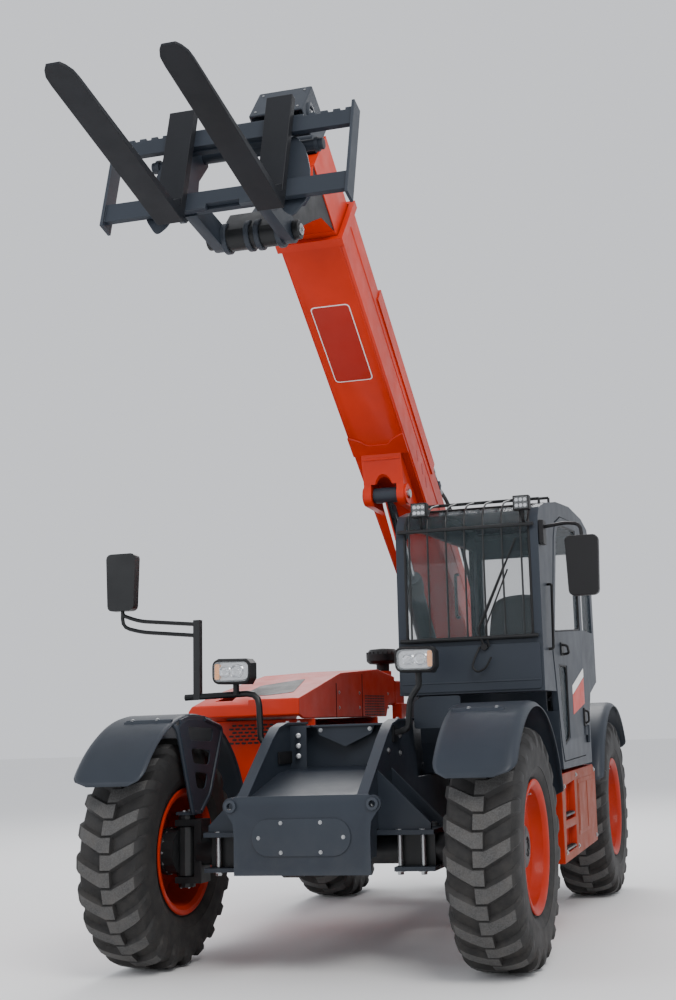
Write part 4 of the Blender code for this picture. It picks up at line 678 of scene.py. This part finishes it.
def boom_details():
    softened("outer_boom", "orange", 0.003)
    inner = softened("inner_boom", "orange", 0.004)
    to_boom = BOOM.inverted()
    repaint(inner, "slate", lambda place: (to_boom @ place).z < NECK_TOP)
    repaint(inner, "black", lambda place: (to_boom @ place).z < COUPLER_TOP)
    softened("nose_cover", "slate", 0.008)
    nose = Shape(BOOM)
    for side in (-1, 1):
        for z in (-0.015, 0.18):
            nose.bolt((side * 0.125, -4.986, z), AHEAD, 0.008, 0.006)
        nose.bolt((side * 0.125, -4.8, 0.247), UP, 0.008, 0.006)
        nose.bolt((side * 0.161, NOSE_EYE_Y, NOSE_EYE_Z), (side, 0, 0), 0.014, 0.01)
    piece("nose_cover_bolts", nose, "zinc", "boom_extension")
    eyes = Shape(BOOM)
    for side in (-1, 1):
        eyes.lathe([(-0.004, 0.034), (-0.004, 0.058), (0.006, 0.056), (0.01, 0.05), (0.01, 0.034)],
            (side * 0.16, NOSE_EYE_Y, NOSE_EYE_Z), (side, 0, 0), 32)
    piece("nose_cover_rings", eyes, "slate", "boom_extension")
    collar = -BOOM_LENGTH
    beads = Shape(BOOM)
    for side in (-1, 1):
        for x, z, radius in ((side * HALF, 0.028, 0.0045), (side * (HALF - 0.01), UNDER + 0.008, 0.005)):
            beads.tube([(x, collar + 0.06, z), (x, 0.1, z)], radius, 0.01, 8)
    edge = ((-HALF + 0.01, -2.742), (-0.11, -2.702), (-0.07, -2.662), (0.07, -2.662), (0.11, -2.702),
        (HALF - 0.01, -2.742))
    beads.tube([(x, y, UNDER - 0.004) for x, y in edge], 0.005, 0.02, 8)
    piece("boom_weld_beads", beads, "orange", "boom")
    # The slots are flat dark red patches on the boom sides: painted shade where the slots' shaded insides would
    # show.
    slots = Shape(BOOM)
    for y, z in ((-2.43, -0.068), (-2.3, -0.052), (-2.186, -0.062)):
        turn = math.radians(-30)
        outline = [(y + u * math.cos(turn) - v * math.sin(turn), z + u * math.sin(turn) + v * math.cos(turn))
            for u, v in stadium(-0.028, 0.028, 0, 0.011, 8)]
        slots.slab(outline, "X", HALF - 0.002, HALF + 0.0012)
        slots.slab(outline, "X", -HALF - 0.0012, -HALF + 0.002)
    piece("boom_side_slot_shade", slots, "sign", "boom")
    plugs = Shape(BOOM)
    for x in (-0.11, 0.11):
        for y in (collar + 0.1, collar + 0.22):
            plugs.bolt((x, y, OVER), UP, 0.012)
    plugs.rod((-0.165, LIFT_EYE_Y, LIFT_EYE_Z), (0.165, LIFT_EYE_Y, LIFT_EYE_Z), 0.03, 32)
    plugs.rod((-0.353, 0, 0), (0.353, 0, 0), 0.034, 32)
    piece("boom_bolts_and_pins", plugs, "zinc", "boom")
    lugs = Shape(BOOM)
    for side in (-1, 1):
        ring = [(0, 0.036), (0, 0.066), (0.008, 0.068), (0.014, 0.066), (0.014, 0.036)]
        lugs.lathe(ring, (side * 0.137, LIFT_EYE_Y, LIFT_EYE_Z), (side, 0, 0), 36)
    lugs.tube([(-0.125, -2.56, -0.222), (0.125, -2.56, -0.222)], 0.007, 0.01, 8)
    piece("lift_bracket_rings", lugs, "orange", "boom")
    border = Shape(BOOM).plate(oblong(SIGN_X, SIGN_Y), 0.03, 6, "Z", UNDER - 0.0012, UNDER + 0.001)
    piece("boom_sign_border", border, "white", "boom")
    inner = oblong((SIGN_X[0] + 0.006, SIGN_X[1] - 0.006), (SIGN_Y[0] + 0.006, SIGN_Y[1] - 0.006))
    ground = Shape(BOOM).plate(inner, 0.026, 6, "Z", UNDER - 0.002, UNDER)
    piece("boom_sign_blank", ground, "sign", "boom")
    hoses = Shape(BOOM)
    for x, rise in HOSES:
        hoses.tube([(x, -2.02, 0.222), (x, -1.86, 0.232), (x, -1.62, 0.262 + rise), (x, -1.2, 0.275 + rise),
            (x, -0.62, 0.262), (x, -0.05, 0.24), (x, 0.1, 0.19), (x, 0.12, 0.1)], 0.014, 0.16, 12)
    piece("boom_hoses", hoses, "plastic", "boom")
    clamps = Shape(BOOM)
    for y, top in ((-0.2, 0.272), (-0.62, 0.272), (-1.92, 0.245)):
        clamps.block((0.07, 0.19), (y, y + 0.05), (OVER - 0.002, top))
    ports = Shape(BOOM)
    for x, _ in HOSES:
        ports.rod((x, -2.1, 0.222), (x, -1.98, 0.222), 0.016, 16)
        ports.rod((x, -2.05, 0.222), (x, -2.02, 0.222), 0.021, 6)
        ports.rod((x, -1.865, 0.232), (x, -1.8, 0.24), 0.018, 16)
    ports.block((0.075, 0.187), (-2.2, -2.09), (OVER - 0.002, 0.246))
    piece("hose_ports", ports, "zinc", "boom", bevel=0.003)
    piece("hose_clamps", clamps, "slate", "boom", bevel=0.004)


EYE_REACH = 0.095           # the rod's painted end, round its pin


def lift_details():
    coat_node("lift_barrel", "slate")
    rod = softened("lift_rod", "chrome", 0.002)
    eye = BOOM @ Vector((0, LIFT_EYE_Y, LIFT_EYE_Z))
    repaint(rod, "slate", lambda place: math.hypot(place.y - eye.y, place.z - eye.z) < EYE_REACH)
    head, port = -1.86 + 0.045, -1.86 + 0.15           # the barrel is 1.86 long
    gland = Shape(LIFT)
    gland.lathe([(-0.05, 0.0455), (-0.05, 0.078), (0.0, 0.082), (0.045, 0.08), (0.05, 0.068), (0.05, 0.0455)],
        (0, head, 0), AHEAD, 40)
    for y in (-0.26, port):
        gland.rod((0, y, 0.06), (0, y, 0.105), 0.02)
    piece("lift_gland_and_ports", gland, "black", "lift_cylinder")
    pipe = Shape(LIFT)
    pipe.tube([(0, port, 0.095), (0, -1.56, 0.098), (0, -0.6, 0.098), (0, -0.45, 0.1)], 0.009, 0.05, 10)
    piece("lift_pipe", pipe, "black", "lift_cylinder")


# ---- head ----
NECK_RING = 0.082


def pin_at(x):
    """A place on the carriage's pin, from its middle."""
    return CARRIAGE.inverted() @ CARRIAGE_PIN + Vector((x, 0, 0))


def head_details():
    softened("fork_carriage", "slate", 0.002)
    softened("quick_coupler", "slate", 0.004)
    for node in ("left_fork", "right_fork"):
        softened(node, "fork", 0.004)
    bolts = Shape(CARRIAGE)
    for side in (-1, 1):
        for y, z in ((0.1, 0.4), (0.1, 0.2), (0.17, 0.46)):
            bolts.bolt((side * 0.2555, y, z), (side, 0, 0), 0.011)
    piece("carriage_bolts", bolts, "zinc", "carriage")
    pin = Shape(CARRIAGE)
    for start, end in ((0.224, 0.256), (-0.256, -0.224)):
        pin.rod(pin_at(start), pin_at(end), 0.05, 32)
    piece("carriage_pin_caps", pin, "black", "carriage")
    shine = Shape(CARRIAGE)
    for side in (-1, 1):
        shine.rod(pin_at(side * 0.256), pin_at(side * 0.264), 0.03, 28)
        shine.bolt(pin_at(side * 0.264), (side, 0, 0), 0.012)
    piece("carriage_pin_ends", shine, "zinc", "carriage")
    rings = Shape(CARRIAGE)
    for x in (-0.15, -0.02, 0.035, 0.15):
        rings.lathe([(-0.014, 0.055), (-0.014, NECK_RING - 0.004), (-0.01, NECK_RING), (0.01, NECK_RING),
            (0.014, NECK_RING - 0.004), (0.014, 0.055)], pin_at(x), LEFT, 36)
    piece("carriage_pin_rings", rings, "slate", "boom_extension")
    cheeks = Shape(CARRIAGE)
    for side in (-1, 1):
        outline = [(0.285, 0.405), (0.335, 0.425), (0.395, 0.35), (0.435, 0.2), (0.435, 0.03),
            (0.365, -0.075), (0.3, -0.02), (0.285, 0.06)]
        cheeks.plate([(side * x, z) for x, z in outline], 0.035, 5, "Y", 0.04, 0.052)
        cheeks.rod((side * 0.27, 0.1, 0.4), (side * 0.47, 0.1, 0.4), 0.03, 28)
        cheeks.lathe([(0, 0.028), (0, 0.038), (0.02, 0.038), (0.02, 0.028)], (side * 0.425, 0.1, 0.4),
            (side, 0, 0), 28)
        cheeks.block((side * 0.285, side * 0.297), (0.046, 0.15), (0.06, 0.43))
    piece("coupler_cheeks", cheeks, "slate", "carriage", bevel=0.003)
    heels = Shape(CARRIAGE)
    for x in (-0.267, 0.267):
        heels.slab([(-0.046, -0.004), (-0.046, 0.06), (-0.05, 0.06), (-0.12, -0.004)], "X", x - 0.066,
            x + 0.066)
    piece("fork_heels", heels, "fork", "carriage", bevel=0.002)


# ---- cab ----
SCREEN_Y, GUARD_Y = 0.452, 0.425
SCREEN = ((SCREEN_Y, 1.745), (SCREEN_Y, 2.36), (0.47, 2.44), (0.53, 2.505), (0.72, 2.555), (1.01, 2.6))
GUARD_BAR = ((0.428, 1.752), (0.428, 2.395), (0.445, 2.485), (0.52, 2.545), (0.72, 2.59), (1.05, 2.64))
FRONT_LIGHT_X = (0.475, 1.09)


def cab_shell_details():
    softened("cab_shell", "slate", 0.008)
    for node in ("windscreen", "rear_window", "right_window", "quarter_window"):
        coat_node(node, "glass")
    coat_node("roof_hatch", "slate")
    seals = Shape()
    x0, x1, z0 = 0.365, 1.115, 1.745
    for x in (x0, x1):
        seals.tube([(x, y, z) for y, z in SCREEN], 0.008, 0.03, 8)
    seals.tube([(x0, SCREEN_Y, z0), (x1, SCREEN_Y, z0)], 0.008, 0.03, 8)
    seals.tube([(x0, 1.01, 2.6), (x1, 1.01, 2.6)], 0.008, 0.03, 8)
    piece("windscreen_seal", seals, "plastic")
    guard = Shape()
    for z in (1.752, 2.395):
        guard.tube([(0.33, GUARD_Y, z), (1.15, GUARD_Y, z)], 0.012, 0.02, 10)
    for i in range(7):
        guard.tube([(0.4 + i * 0.112, y, z) for y, z in GUARD_BAR], 0.006, 0.06, 8)
    rims = ((1.05, 2.64), (0.72, 2.59))
    for (y, z), radius in zip(rims, (0.009, 0.007)):
        guard.tube([(0.345, y, z), (1.135, y, z)], radius, 0.02, 10)
    for x in (0.345, 1.135):
        for y, z in rims:
            guard.rod((x, y, z), (x, y, z - 0.045), 0.008, 10)
        for z in (1.752, 2.395):
            guard.rod((x, GUARD_Y, z), (x, SCREEN_Y, z), 0.008, 10)
    piece("windscreen_guard", guard, "black")
    wiper = Shape().rod((0.83, SCREEN_Y, 1.7), (0.83, 0.418, 1.7), 0.02)
    for path, radius, bend in (([(0.83, 0.428, 1.7), (0.8, 0.415, 1.8), (0.97, 0.43, 2.17)], 0.007, 0.03),
            ([(0.86, 0.428, 1.7), (0.84, 0.415, 1.8), (0.985, 0.43, 2.14)], 0.005, 0.03),
            ([(0.83, 0.436, 1.86), (0.97, 0.438, 2.17), (1.04, 0.438, 2.32)], 0.006, 0.03),
            ([(0.8, 0.44, 1.7), (0.775, 0.412, 1.64), (0.76, 0.402, 1.585), (0.79, 0.398, 1.555),
            (0.84, 0.398, 1.575), (0.875, 0.402, 1.64)], 0.006, 0.05)):
        wiper.tube(path, radius, bend, 8)
    piece("windscreen_wiper", wiper, "plastic")
    apron = Shape().plate(oblong((0.325, 1.155), (1.452, 1.715)), 0.025, 5, "Y", 0.441, 0.449)
    apron.slab(oblong((0.33, 1.15), (1.5, 1.508)), "Y", 0.437, 0.442)
    piece("cab_front_panel", apron, "slate", bevel=0.003)
    lamps, glass = Shape(), Shape()
    for x in FRONT_LIGHT_X:
        lamps.block(about(x, 0.048), (0.385, 0.445), (2.475, 2.56))
        lamps.tube([(x, 0.42, 2.48), (x, 0.43, 2.44), (x, 0.455, 2.4)], 0.01, 0.02, 8)
        glass.block(about(x, 0.04), (0.3815, 0.386), (2.482, 2.552))
    for x in (0.4, 1.08):
        lamps.block(about(x, 0.045), (2.405, 2.455), (2.515, 2.59))
        glass.block(about(x, 0.038), (2.453, 2.457), (2.522, 2.583))
    leds = Shape()
    for x in FRONT_LIGHT_X:
        for row in range(2):
            for column in range(3):
                spot = (x - 0.025 + column * 0.025, 0.3853, 2.5 + row * 0.034)
                leds.lathe([(0, 0), (0, 0.011), (0.003, 0.0105), (0.0015, 0.004), (0.003, 0)], spot, AHEAD,
                    16)
    piece("cab_work_light_reflectors", leds, "chrome")
    piece("cab_work_lights", lamps, "plastic", bevel=0.008)
    piece("cab_work_light_lenses", glass, "lens", bevel=0.003)
    rails = Shape()
    rails.tube([(1.172, 0.66, 2.06), (1.2, 0.65, 2.06), (1.2, 0.61, 1.68), (1.172, 0.61, 1.68)], 0.008, 0.03,
        10)
    rails.tube([(0.3, 2.0, 2.3), (0.275, 2.0, 2.3), (0.275, 2.0, 2.0), (0.3, 2.0, 2.0)], 0.011, 0.03, 10)
    piece("cab_grab_rails", rails, "plastic")
    rear = Shape()
    for k in range(6):
        rear.block((0.42 + k * 0.012, 1.06 - k * 0.012), (2.42, 2.426), (1.56 + k * 0.022, 1.57 + k * 0.022))
    piece("cab_rear_vents", rear, "plastic", bevel=0.002)


DOOR_UPPER = [(0.83, 1.79), (1.03, 2.395), (1.09, 2.455), (1.24, 2.49), (1.78, 2.52), (1.78, 1.85)]
DOOR_LOWER = [(0.9, 1.6), (1.2, 1.6), (1.2, 1.16), (1.02, 1.12), (0.95, 1.3)]
CAB_SIDE_X = 1.17
DOOR_FACE_X = 1.174


def scaled(outline, share):
    """An outline brought towards its middle, or away from it."""
    centre = sum((Vector(p) for p in outline), Vector((0, 0))) / len(outline)
    return [centre + (Vector(p) - centre) * share for p in outline]


def door_details():
    panes, seal, holes = Shape(), Shape(), []
    for window in (DOOR_UPPER, DOOR_LOWER):
        opening = rounded(scaled(window, 0.99), 0.05, 6, True)
        holes.append(Shape().slab(opening, "X", CAB_SIDE_X - 0.2, CAB_SIDE_X + 0.1).mesh())
        panes.plate(scaled(window, 1.01), 0.05, 6, "X", CAB_SIDE_X - 0.012, CAB_SIDE_X - 0.007)
        loop = [Vector((CAB_SIDE_X - 0.004, p[0], p[1])) for p in opening]
        seal.tube(loop + [loop[0]], 0.006, 0.001, 8, 1)
    softened("cab_door", "slate", 0.004, *holes)
    piece("cab_door_glass", panes, "glass", "door")
    piece("cab_door_seal", seal, "plastic", "door")
    handle = Shape()
    near, lever, latch = CAB_SIDE_X + 0.01, CAB_SIDE_X + 0.045, CAB_SIDE_X + 0.035
    handle.block((CAB_SIDE_X + 0.004, CAB_SIDE_X + 0.012), (0.985, 1.075), (1.655, 1.735))
    handle.tube([(near, 1.0, 1.72), (lever, 1.0, 1.715), (lever, 1.06, 1.67), (near, 1.06, 1.665)], 0.008,
        0.02, 10)
    handle.block((CAB_SIDE_X + 0.002, CAB_SIDE_X + 0.014), (1.735, 1.8), (1.225, 1.34))
    latch_y = 1.767
    handle.tube([(near, latch_y, 1.325), (latch, latch_y, 1.315), (latch, latch_y, 1.25),
        (near, latch_y, 1.24)], 0.007, 0.015, 10)
    piece("cab_door_handle", handle, "plastic", "door", bevel=0.002)


def side_stripes():
    """The blank stripe and the orange wedge under it, which run over the door's lower half."""
    skin = (DOOR_FACE_X - 0.002, DOOR_FACE_X + 0.0014)
    white = Shape().slab([(1.36, 1.425), (1.815, 1.545), (1.815, 1.6), (1.36, 1.48)], "X", *skin)
    piece("door_stripe", white, "white", "door")
    wedge = Shape().slab([(1.36, 1.3), (1.815, 1.37), (1.815, 1.54), (1.36, 1.42)], "X", skin[0],
        skin[1] - 0.0004)
    piece("door_wedge", wedge, "orange", "door")


SEAT_X = 0.74
ROUNDING, PINCH = 0.22, 0.18        # how far a cushion goes to a ball, and how much its corners draw in
RIBS_PER_METRE = 42.0       # sewn channels, in radians of their wave per metre


def padded_block(name, x, y, z, crown):
    """A crowned cushion: a subdivided block whose faces swell between drawn-in corners."""
    bm = bmesh.new()
    bmesh.ops.create_cube(bm, size=2.0)
    bmesh.ops.subdivide_edges(bm, edges=bm.edges, cuts=9, use_grid_fill=True)
    half = [(high - low) / 2 for low, high in (x, y, z)]
    mid = Vector([(high + low) / 2 for low, high in (x, y, z)])
    for vert in bm.verts:
        u = vert.co.copy()
        sphere = u.normalized()
        soft = u.lerp(sphere * max(abs(c) for c in u) * 1.15, ROUNDING)
        swell = [1 - PINCH * (abs(u[(i + 1) % 3]) ** 6 + abs(u[(i + 2) % 3]) ** 6) / 2 for i in range(3)]
        vert.co = ORIGIN @ (mid + Vector([soft[i] * half[i] * swell[i] * 0.97 for i in range(3)]))
        rib = crown * 0.35 * abs(math.sin(vert.co.x * RIBS_PER_METRE))
        vert.co.z -= rib if u.z > 0.95 else 0.0
    return as_mesh(bm, name)


def interior():
    pad = padded_block("seat_cushion", about(SEAT_X, 0.24), (1.38, 1.86), (1.4, 1.51), 0.012)
    cushion = piece("seat_cushion", pad, "cloth", replaces=("seat",), smooth=180)
    back = padded_block("seat_back", about(SEAT_X, 0.22), (-0.055, 0.055), (-0.34, 0.34), 0.0)
    tilt = ORIGIN @ move((SEAT_X, 1.925, 1.8)) @ lean(math.radians(-13)) @ move((-SEAT_X, 0,
        0)) @ ORIGIN.inverted()
    back.transform(tilt)
    backrest = piece("seat_backrest", back, "cloth", smooth=180)
    base = Shape()
    base.block(about(SEAT_X, 0.16), (1.45, 1.84), (1.018, 1.06))
    for k in range(5):
        half, low = 0.15 - 0.004 * (k % 2), 1.065 + k * 0.055
        base.block(about(SEAT_X, half), (1.46, 1.83), (low, low + 0.05))
    base.block(about(SEAT_X, 0.2), (1.42, 1.85), (1.345, 1.4))
    for side in (-1, 1):
        base.block((SEAT_X + side * 0.25, SEAT_X + side * 0.31), (1.42, 1.74), (1.6, 1.64))
        base.block((SEAT_X + side * 0.265, SEAT_X + side * 0.295), (1.7, 1.76), (1.42, 1.62))
    piece("seat_base", base, "plastic", bevel=0.006)
    softened("steering_column", "plastic", 0.004)
    tilt_up = ORIGIN @ move((SEAT_X, 1.165, 1.715)) @ lean(math.radians(-17.3))
    ring = Shape(tilt_up)
    ring.lathe([(across, 0.178 + out) for across, out in circle(12, 0.016)], (0, 0, 0), UP, 48)
    ring.lathe([(-0.03, 0), (-0.03, 0.05), (0.012, 0.045), (0.018, 0.03), (0.018, 0)], (0, 0, 0), UP, 28)
    for k in range(3):
        turn = math.radians(90 + 120 * k)
        ring.tube([(0.03 * math.cos(turn), 0.03 * math.sin(turn), 0),
            (0.17 * math.cos(turn), 0.17 * math.sin(turn), 0)], 0.011, 0.01, 8)
    piece("steering_wheel_rim", ring, "plastic")
    dash = Shape()
    dash.block((0.36, 0.56), (0.53, 0.8), (1.48, 1.735))
    dash.block((0.94, 1.12), (0.53, 0.7), (1.48, 1.7))
    dash.block((0.36, 0.5), (1.3, 1.95), (1.05, 1.62))
    dash.block(about(SEAT_X, 0.1), (0.985, 1.06), (1.56, 1.64))
    piece("cab_consoles", dash, "plastic", bevel=0.015)
    levers = Shape()
    levers.tube([(0.43, 1.42, 1.62), (0.43, 1.4, 1.76)], 0.009, 0.01, 10)
    levers.lathe([(0, 0), (0.0, 0.016), (0.03, 0.024), (0.075, 0.02), (0.085, 0.01), (0.085, 0)],
        (0.43, 1.4, 1.74), (0, -0.1, 1), 20)
    for root, tip in ((0.7, 0.58), (0.78, 0.9)):
        levers.tube([(root, 1.1, 1.66), (tip, 1.1, 1.7)], 0.006, 0.01, 8)
    piece("cab_levers", levers, "black")


# ---- engine side and tank ----
def engine_side():
    softened("engine_hood", "orange", 0.01)
    softened("engine_bay", "orange", 0.006)
    softened("rear_cowl", "orange", 0.008)
    coat_node("engine_block", "iron")
    softened("air_precleaner", "plastic", 0.003)
    ribs = Shape()
    for across, out in circle(20, 0.12):
        x, y = -0.52 + out, 2.765 + across
        ribs.rod((x, y, 1.795), (x, y, 1.825), 0.006, 8)
    piece("precleaner_ribs", ribs, "plastic")
    # Black flat patches on the front face: painted shade where the grille holes' dark insides would show.
    holes = Shape()
    for row in range(6):
        for column in range(9 - row % 2):
            x, z = -0.945 + column * 0.042 + (0.021 if row % 2 else 0.0), 1.195 + row * 0.022
            holes.slab(stadium(x, x + 0.018, z, 0.0062, 6), "Y", 0.857, 0.861)
    piece("front_grille_hole_shade", holes, "black")
    # Black flat patches on the hood side: painted shade where the vent slots' dark insides would show.
    vents = Shape()
    for row in range(8):
        for column in range(12):
            y, z = 1.905 + column * 0.038, 1.352 + row * 0.0185
            vents.slab(stadium(y, y + 0.016, z, 0.0058, 5), "X", -0.387, -0.3835)
    piece("hood_side_vent_shade", vents, "black", "hood")
    raised = cad_mesh("engine_hood")
    raised.transform(move((0, 0, 0.0022)))
    strip = Shape().plate([(-0.82, 0.8), (-0.81, 1.05), (-0.57, 1.23), (-0.49, 0.8), (-0.65, 0.72)], 0.03, 5,
        "Z", 1.36, 1.72).mesh()
    piece("hood_inlay", cut(raised, strip, operation="INTERSECT"), "plastic", "hood")
    seams = Shape()
    for y, top in ((1.3, 1.56), (1.84, 1.63)):
        seams.tube([(-0.384, y, 1.337), (-0.384, y, top)], 0.003, 0.01, 6)
    piece("hood_seams", seams, "black", "hood")
    latches = Shape()
    for y in (1.36, 1.78, 2.44):
        for z in (1.4, 1.5):
            latches.bolt((-0.385, y, z), LEFT, 0.008, 0.006)
    piece("hood_bolts", latches, "zinc", "hood")
    side = Shape()
    low_x = -1.12
    # A thin black sheet behind the louvres: painted shade for the dark gaps between the slats.
    louvre_shade_sheet = Shape().block((low_x - 0.002, low_x + 0.001), (1.05, 1.95), (0.98, 1.26))
    for k in range(9):
        z = 0.985 + k * 0.031
        louvre = [(low_x - 0.012, z), (low_x - 0.001, z + 0.012), (low_x - 0.001, z + 0.022),
            (low_x - 0.014, z + 0.006)]
        side.slab(louvre, "Y", 1.05, 1.95)
    piece("bay_side_louvres", side, "orange", bevel=0.001)
    piece("bay_side_louvre_shade_sheet", louvre_shade_sheet, "black")
    outer_face = (ORIGIN @ Vector((1.158, 0, 0))).x
    repaint(softened("side_tank", "rim", 0.006), "copper", lambda place: place.x > outer_face)
    tank = Shape()
    tank.block((1.163, 1.169), (1.4, 2.06), (0.56, 0.9))
    for k in range(2):
        tank.block((1.165, 1.172), (1.42 + k * 0.32, 1.7 + k * 0.32), (0.585, 0.875))
    piece("tank_covers", tank, "copper", bevel=0.004)
    bolts = Shape()
    for y in (0.93, 1.36, 2.09):
        for z in (0.5, 0.93 if y > 0.95 else 0.88):
            bolts.bolt((1.165, y, z), LEFT, 0.01)
    piece("tank_bolts", bolts, "zinc")
    step = Shape()
    for z in (0.505, 0.7):
        step.block((1.125, 1.163), (0.97, 1.285), (z, z + 0.012))
        for k in range(12):
            step.block((1.13, 1.16), (0.985 + k * 0.025, 0.992 + k * 0.025), (z + 0.012, z + 0.018))
    piece("tank_steps", step, "black", bevel=0.0015)


# ---- lamps and mirrors ----
def lamp_finish(name, centre, side):
    """Headlamp faces: a chrome bowl, a clear lens, and an amber indicator at the outer end."""
    x, y, z = centre
    bowl = Shape().plate(oblong(about(x, 0.1), about(z, 0.05)), 0.04, 6, "Y", y - 0.0565, y - 0.053)
    for dx, radius in ((-0.042, 0.034), (0.03, 0.04)):
        bowl.lathe([(0, radius - 0.004), (0.013, radius), (0.014, radius - 0.003), (0.002, radius - 0.014),
            (0.001, 0.012), (0.012, 0.01), (0.012, 0), (0, 0)], (x + dx, y - 0.0565, z), AHEAD, 32)
    piece(name + "_bowl", bowl, "chrome", bevel=0.002)
    clear = [(x - 0.104, z - 0.056), (x + 0.104, z - 0.06), (x + 0.108, z + 0.052), (x - 0.104, z + 0.058)]
    lens = Shape().plate(clear, 0.035, 6, "Y", y - 0.078, y - 0.0735)
    piece(name + "_lens", lens, "lens", bevel=0.004)
    end = oblong((x + side * 0.072, x + side * 0.101), about(z, 0.045))
    amber = Shape().plate(end, 0.01, 4, "Y", y - 0.072, y - 0.057)
    piece(name + "_indicator", amber, "amber", bevel=0.003)
    edge = [(x - 0.108, z - 0.06), (x + 0.108, z - 0.064), (x + 0.112, z + 0.056), (x - 0.108, z + 0.062)]
    loop = [Vector((p[0], y - 0.066, p[1])) for p in rounded(edge, 0.035, 6, True)]
    bezel = Shape()
    bezel.tube(loop + [loop[0]], 0.009, 0.001, 8, 1)
    piece(name + "_bezel", bezel, "plastic")


def mirror_finish(name, centre):
    x, y, z = centre
    pane = [(x - 0.078, z - 0.155), (x + 0.078, z - 0.155), (x + 0.083, z + 0.155), (x - 0.083, z + 0.155)]
    glass = Shape().plate(pane, 0.03, 6, "Y", y + 0.03, y + 0.034)
    piece(name + "_glass", glass, "mirror")


def lamps_and_mirrors():
    softened("right_lamp_and_mirror", "black", 0.006)
    softened("left_lamp", "black", 0.006)
    softened("left_mirror", "plastic", 0.01)
    lamp_finish("right_headlamp", (-0.55, 0.06, 1.61), -1)
    lamp_finish("left_headlamp", (0.5, 0.19, 1.635), 1)
    mirror_finish("right_mirror", (-1.27, 0.06, 2.16))
    mirror_finish("left_mirror", (1.44, 0.34, 2.12))


# ---- stage ----
def camera():
    """The viewpoint: low, in front and to the left of the machine, looking up at it."""
    yaw, pitch, roll = math.radians(14.61), math.radians(9.94), math.radians(-2.08)
    forward = Vector((-math.sin(yaw) * math.cos(pitch), math.cos(yaw) * math.cos(pitch), math.sin(pitch)))
    right = Vector((math.cos(yaw), math.sin(yaw), 0))
    up = right.cross(forward)
    turned_right = right * math.cos(roll) + up * math.sin(roll)
    turned_up = up * math.cos(roll) - right * math.sin(roll)
    data = bpy.data.cameras.new("camera")
    data.lens = 47.9
    data.sensor_width = 36.0
    data.shift_x = -0.1058
    data.shift_y = -0.0134
    data.clip_end = 200
    cam = linked("camera", data)
    cam.matrix_world = ORIGIN @ move((2.579, -7.071, 1.295)) @ Matrix((turned_right, turned_up,
        -forward)).transposed().to_4x4()
    bpy.context.scene.camera = cam


def studio():
    reach, level = 60, -0.0005
    mesh = Shape().grid([[(x, y, level) for x in (-reach, reach)] for y in (-reach, reach)]).mesh()
    floor = linked("floor", mesh)
    pale = bpy.data.materials.new("pale_floor")
    pale.use_nodes = True
    shader = pale.node_tree.nodes["Principled BSDF"].inputs
    shader["Base Color"].default_value = (0.86, 0.86, 0.86, 1)
    shader["Roughness"].default_value = 0.8
    mesh.materials.append(pale)
    world = bpy.data.worlds.new("studio")
    world.use_nodes = True
    sky = world.node_tree.nodes["Background"].inputs
    sky["Color"].default_value = (0.93, 0.95, 1.0, 1)
    sky["Strength"].default_value = 0.95
    bpy.context.scene.world = world
    for name, spot, size, power, colour in (("key", (6.0, -7.5, 10.0), 5.0, 1000, (1.0, 0.98, 0.95)),
            ("fill", (-8.0, -7.0, 5.0), 6.0, 250, (0.95, 0.97, 1.0)),
            ("back", (-2.0, 9.0, 9.0), 6.0, 700, (1.0, 1.0, 1.0))):
        data = bpy.data.lights.new(name, "AREA")
        data.size = size
        data.energy = power
        data.color = colour
        lamp = linked(name, data)
        lamp.location = ORIGIN @ Vector(spot)
        aim = (ORIGIN @ Vector((0, 0.8, 1.8))) - lamp.location
        lamp.rotation_euler = aim.to_track_quat("-Z", "Y").to_euler()


camera()
studio()
running_gear()
frame_details()
boom_details()
lift_details()
head_details()
cab_shell_details()
door_details()
side_stripes()
interior()
engine_side()
lamps_and_mirrors()
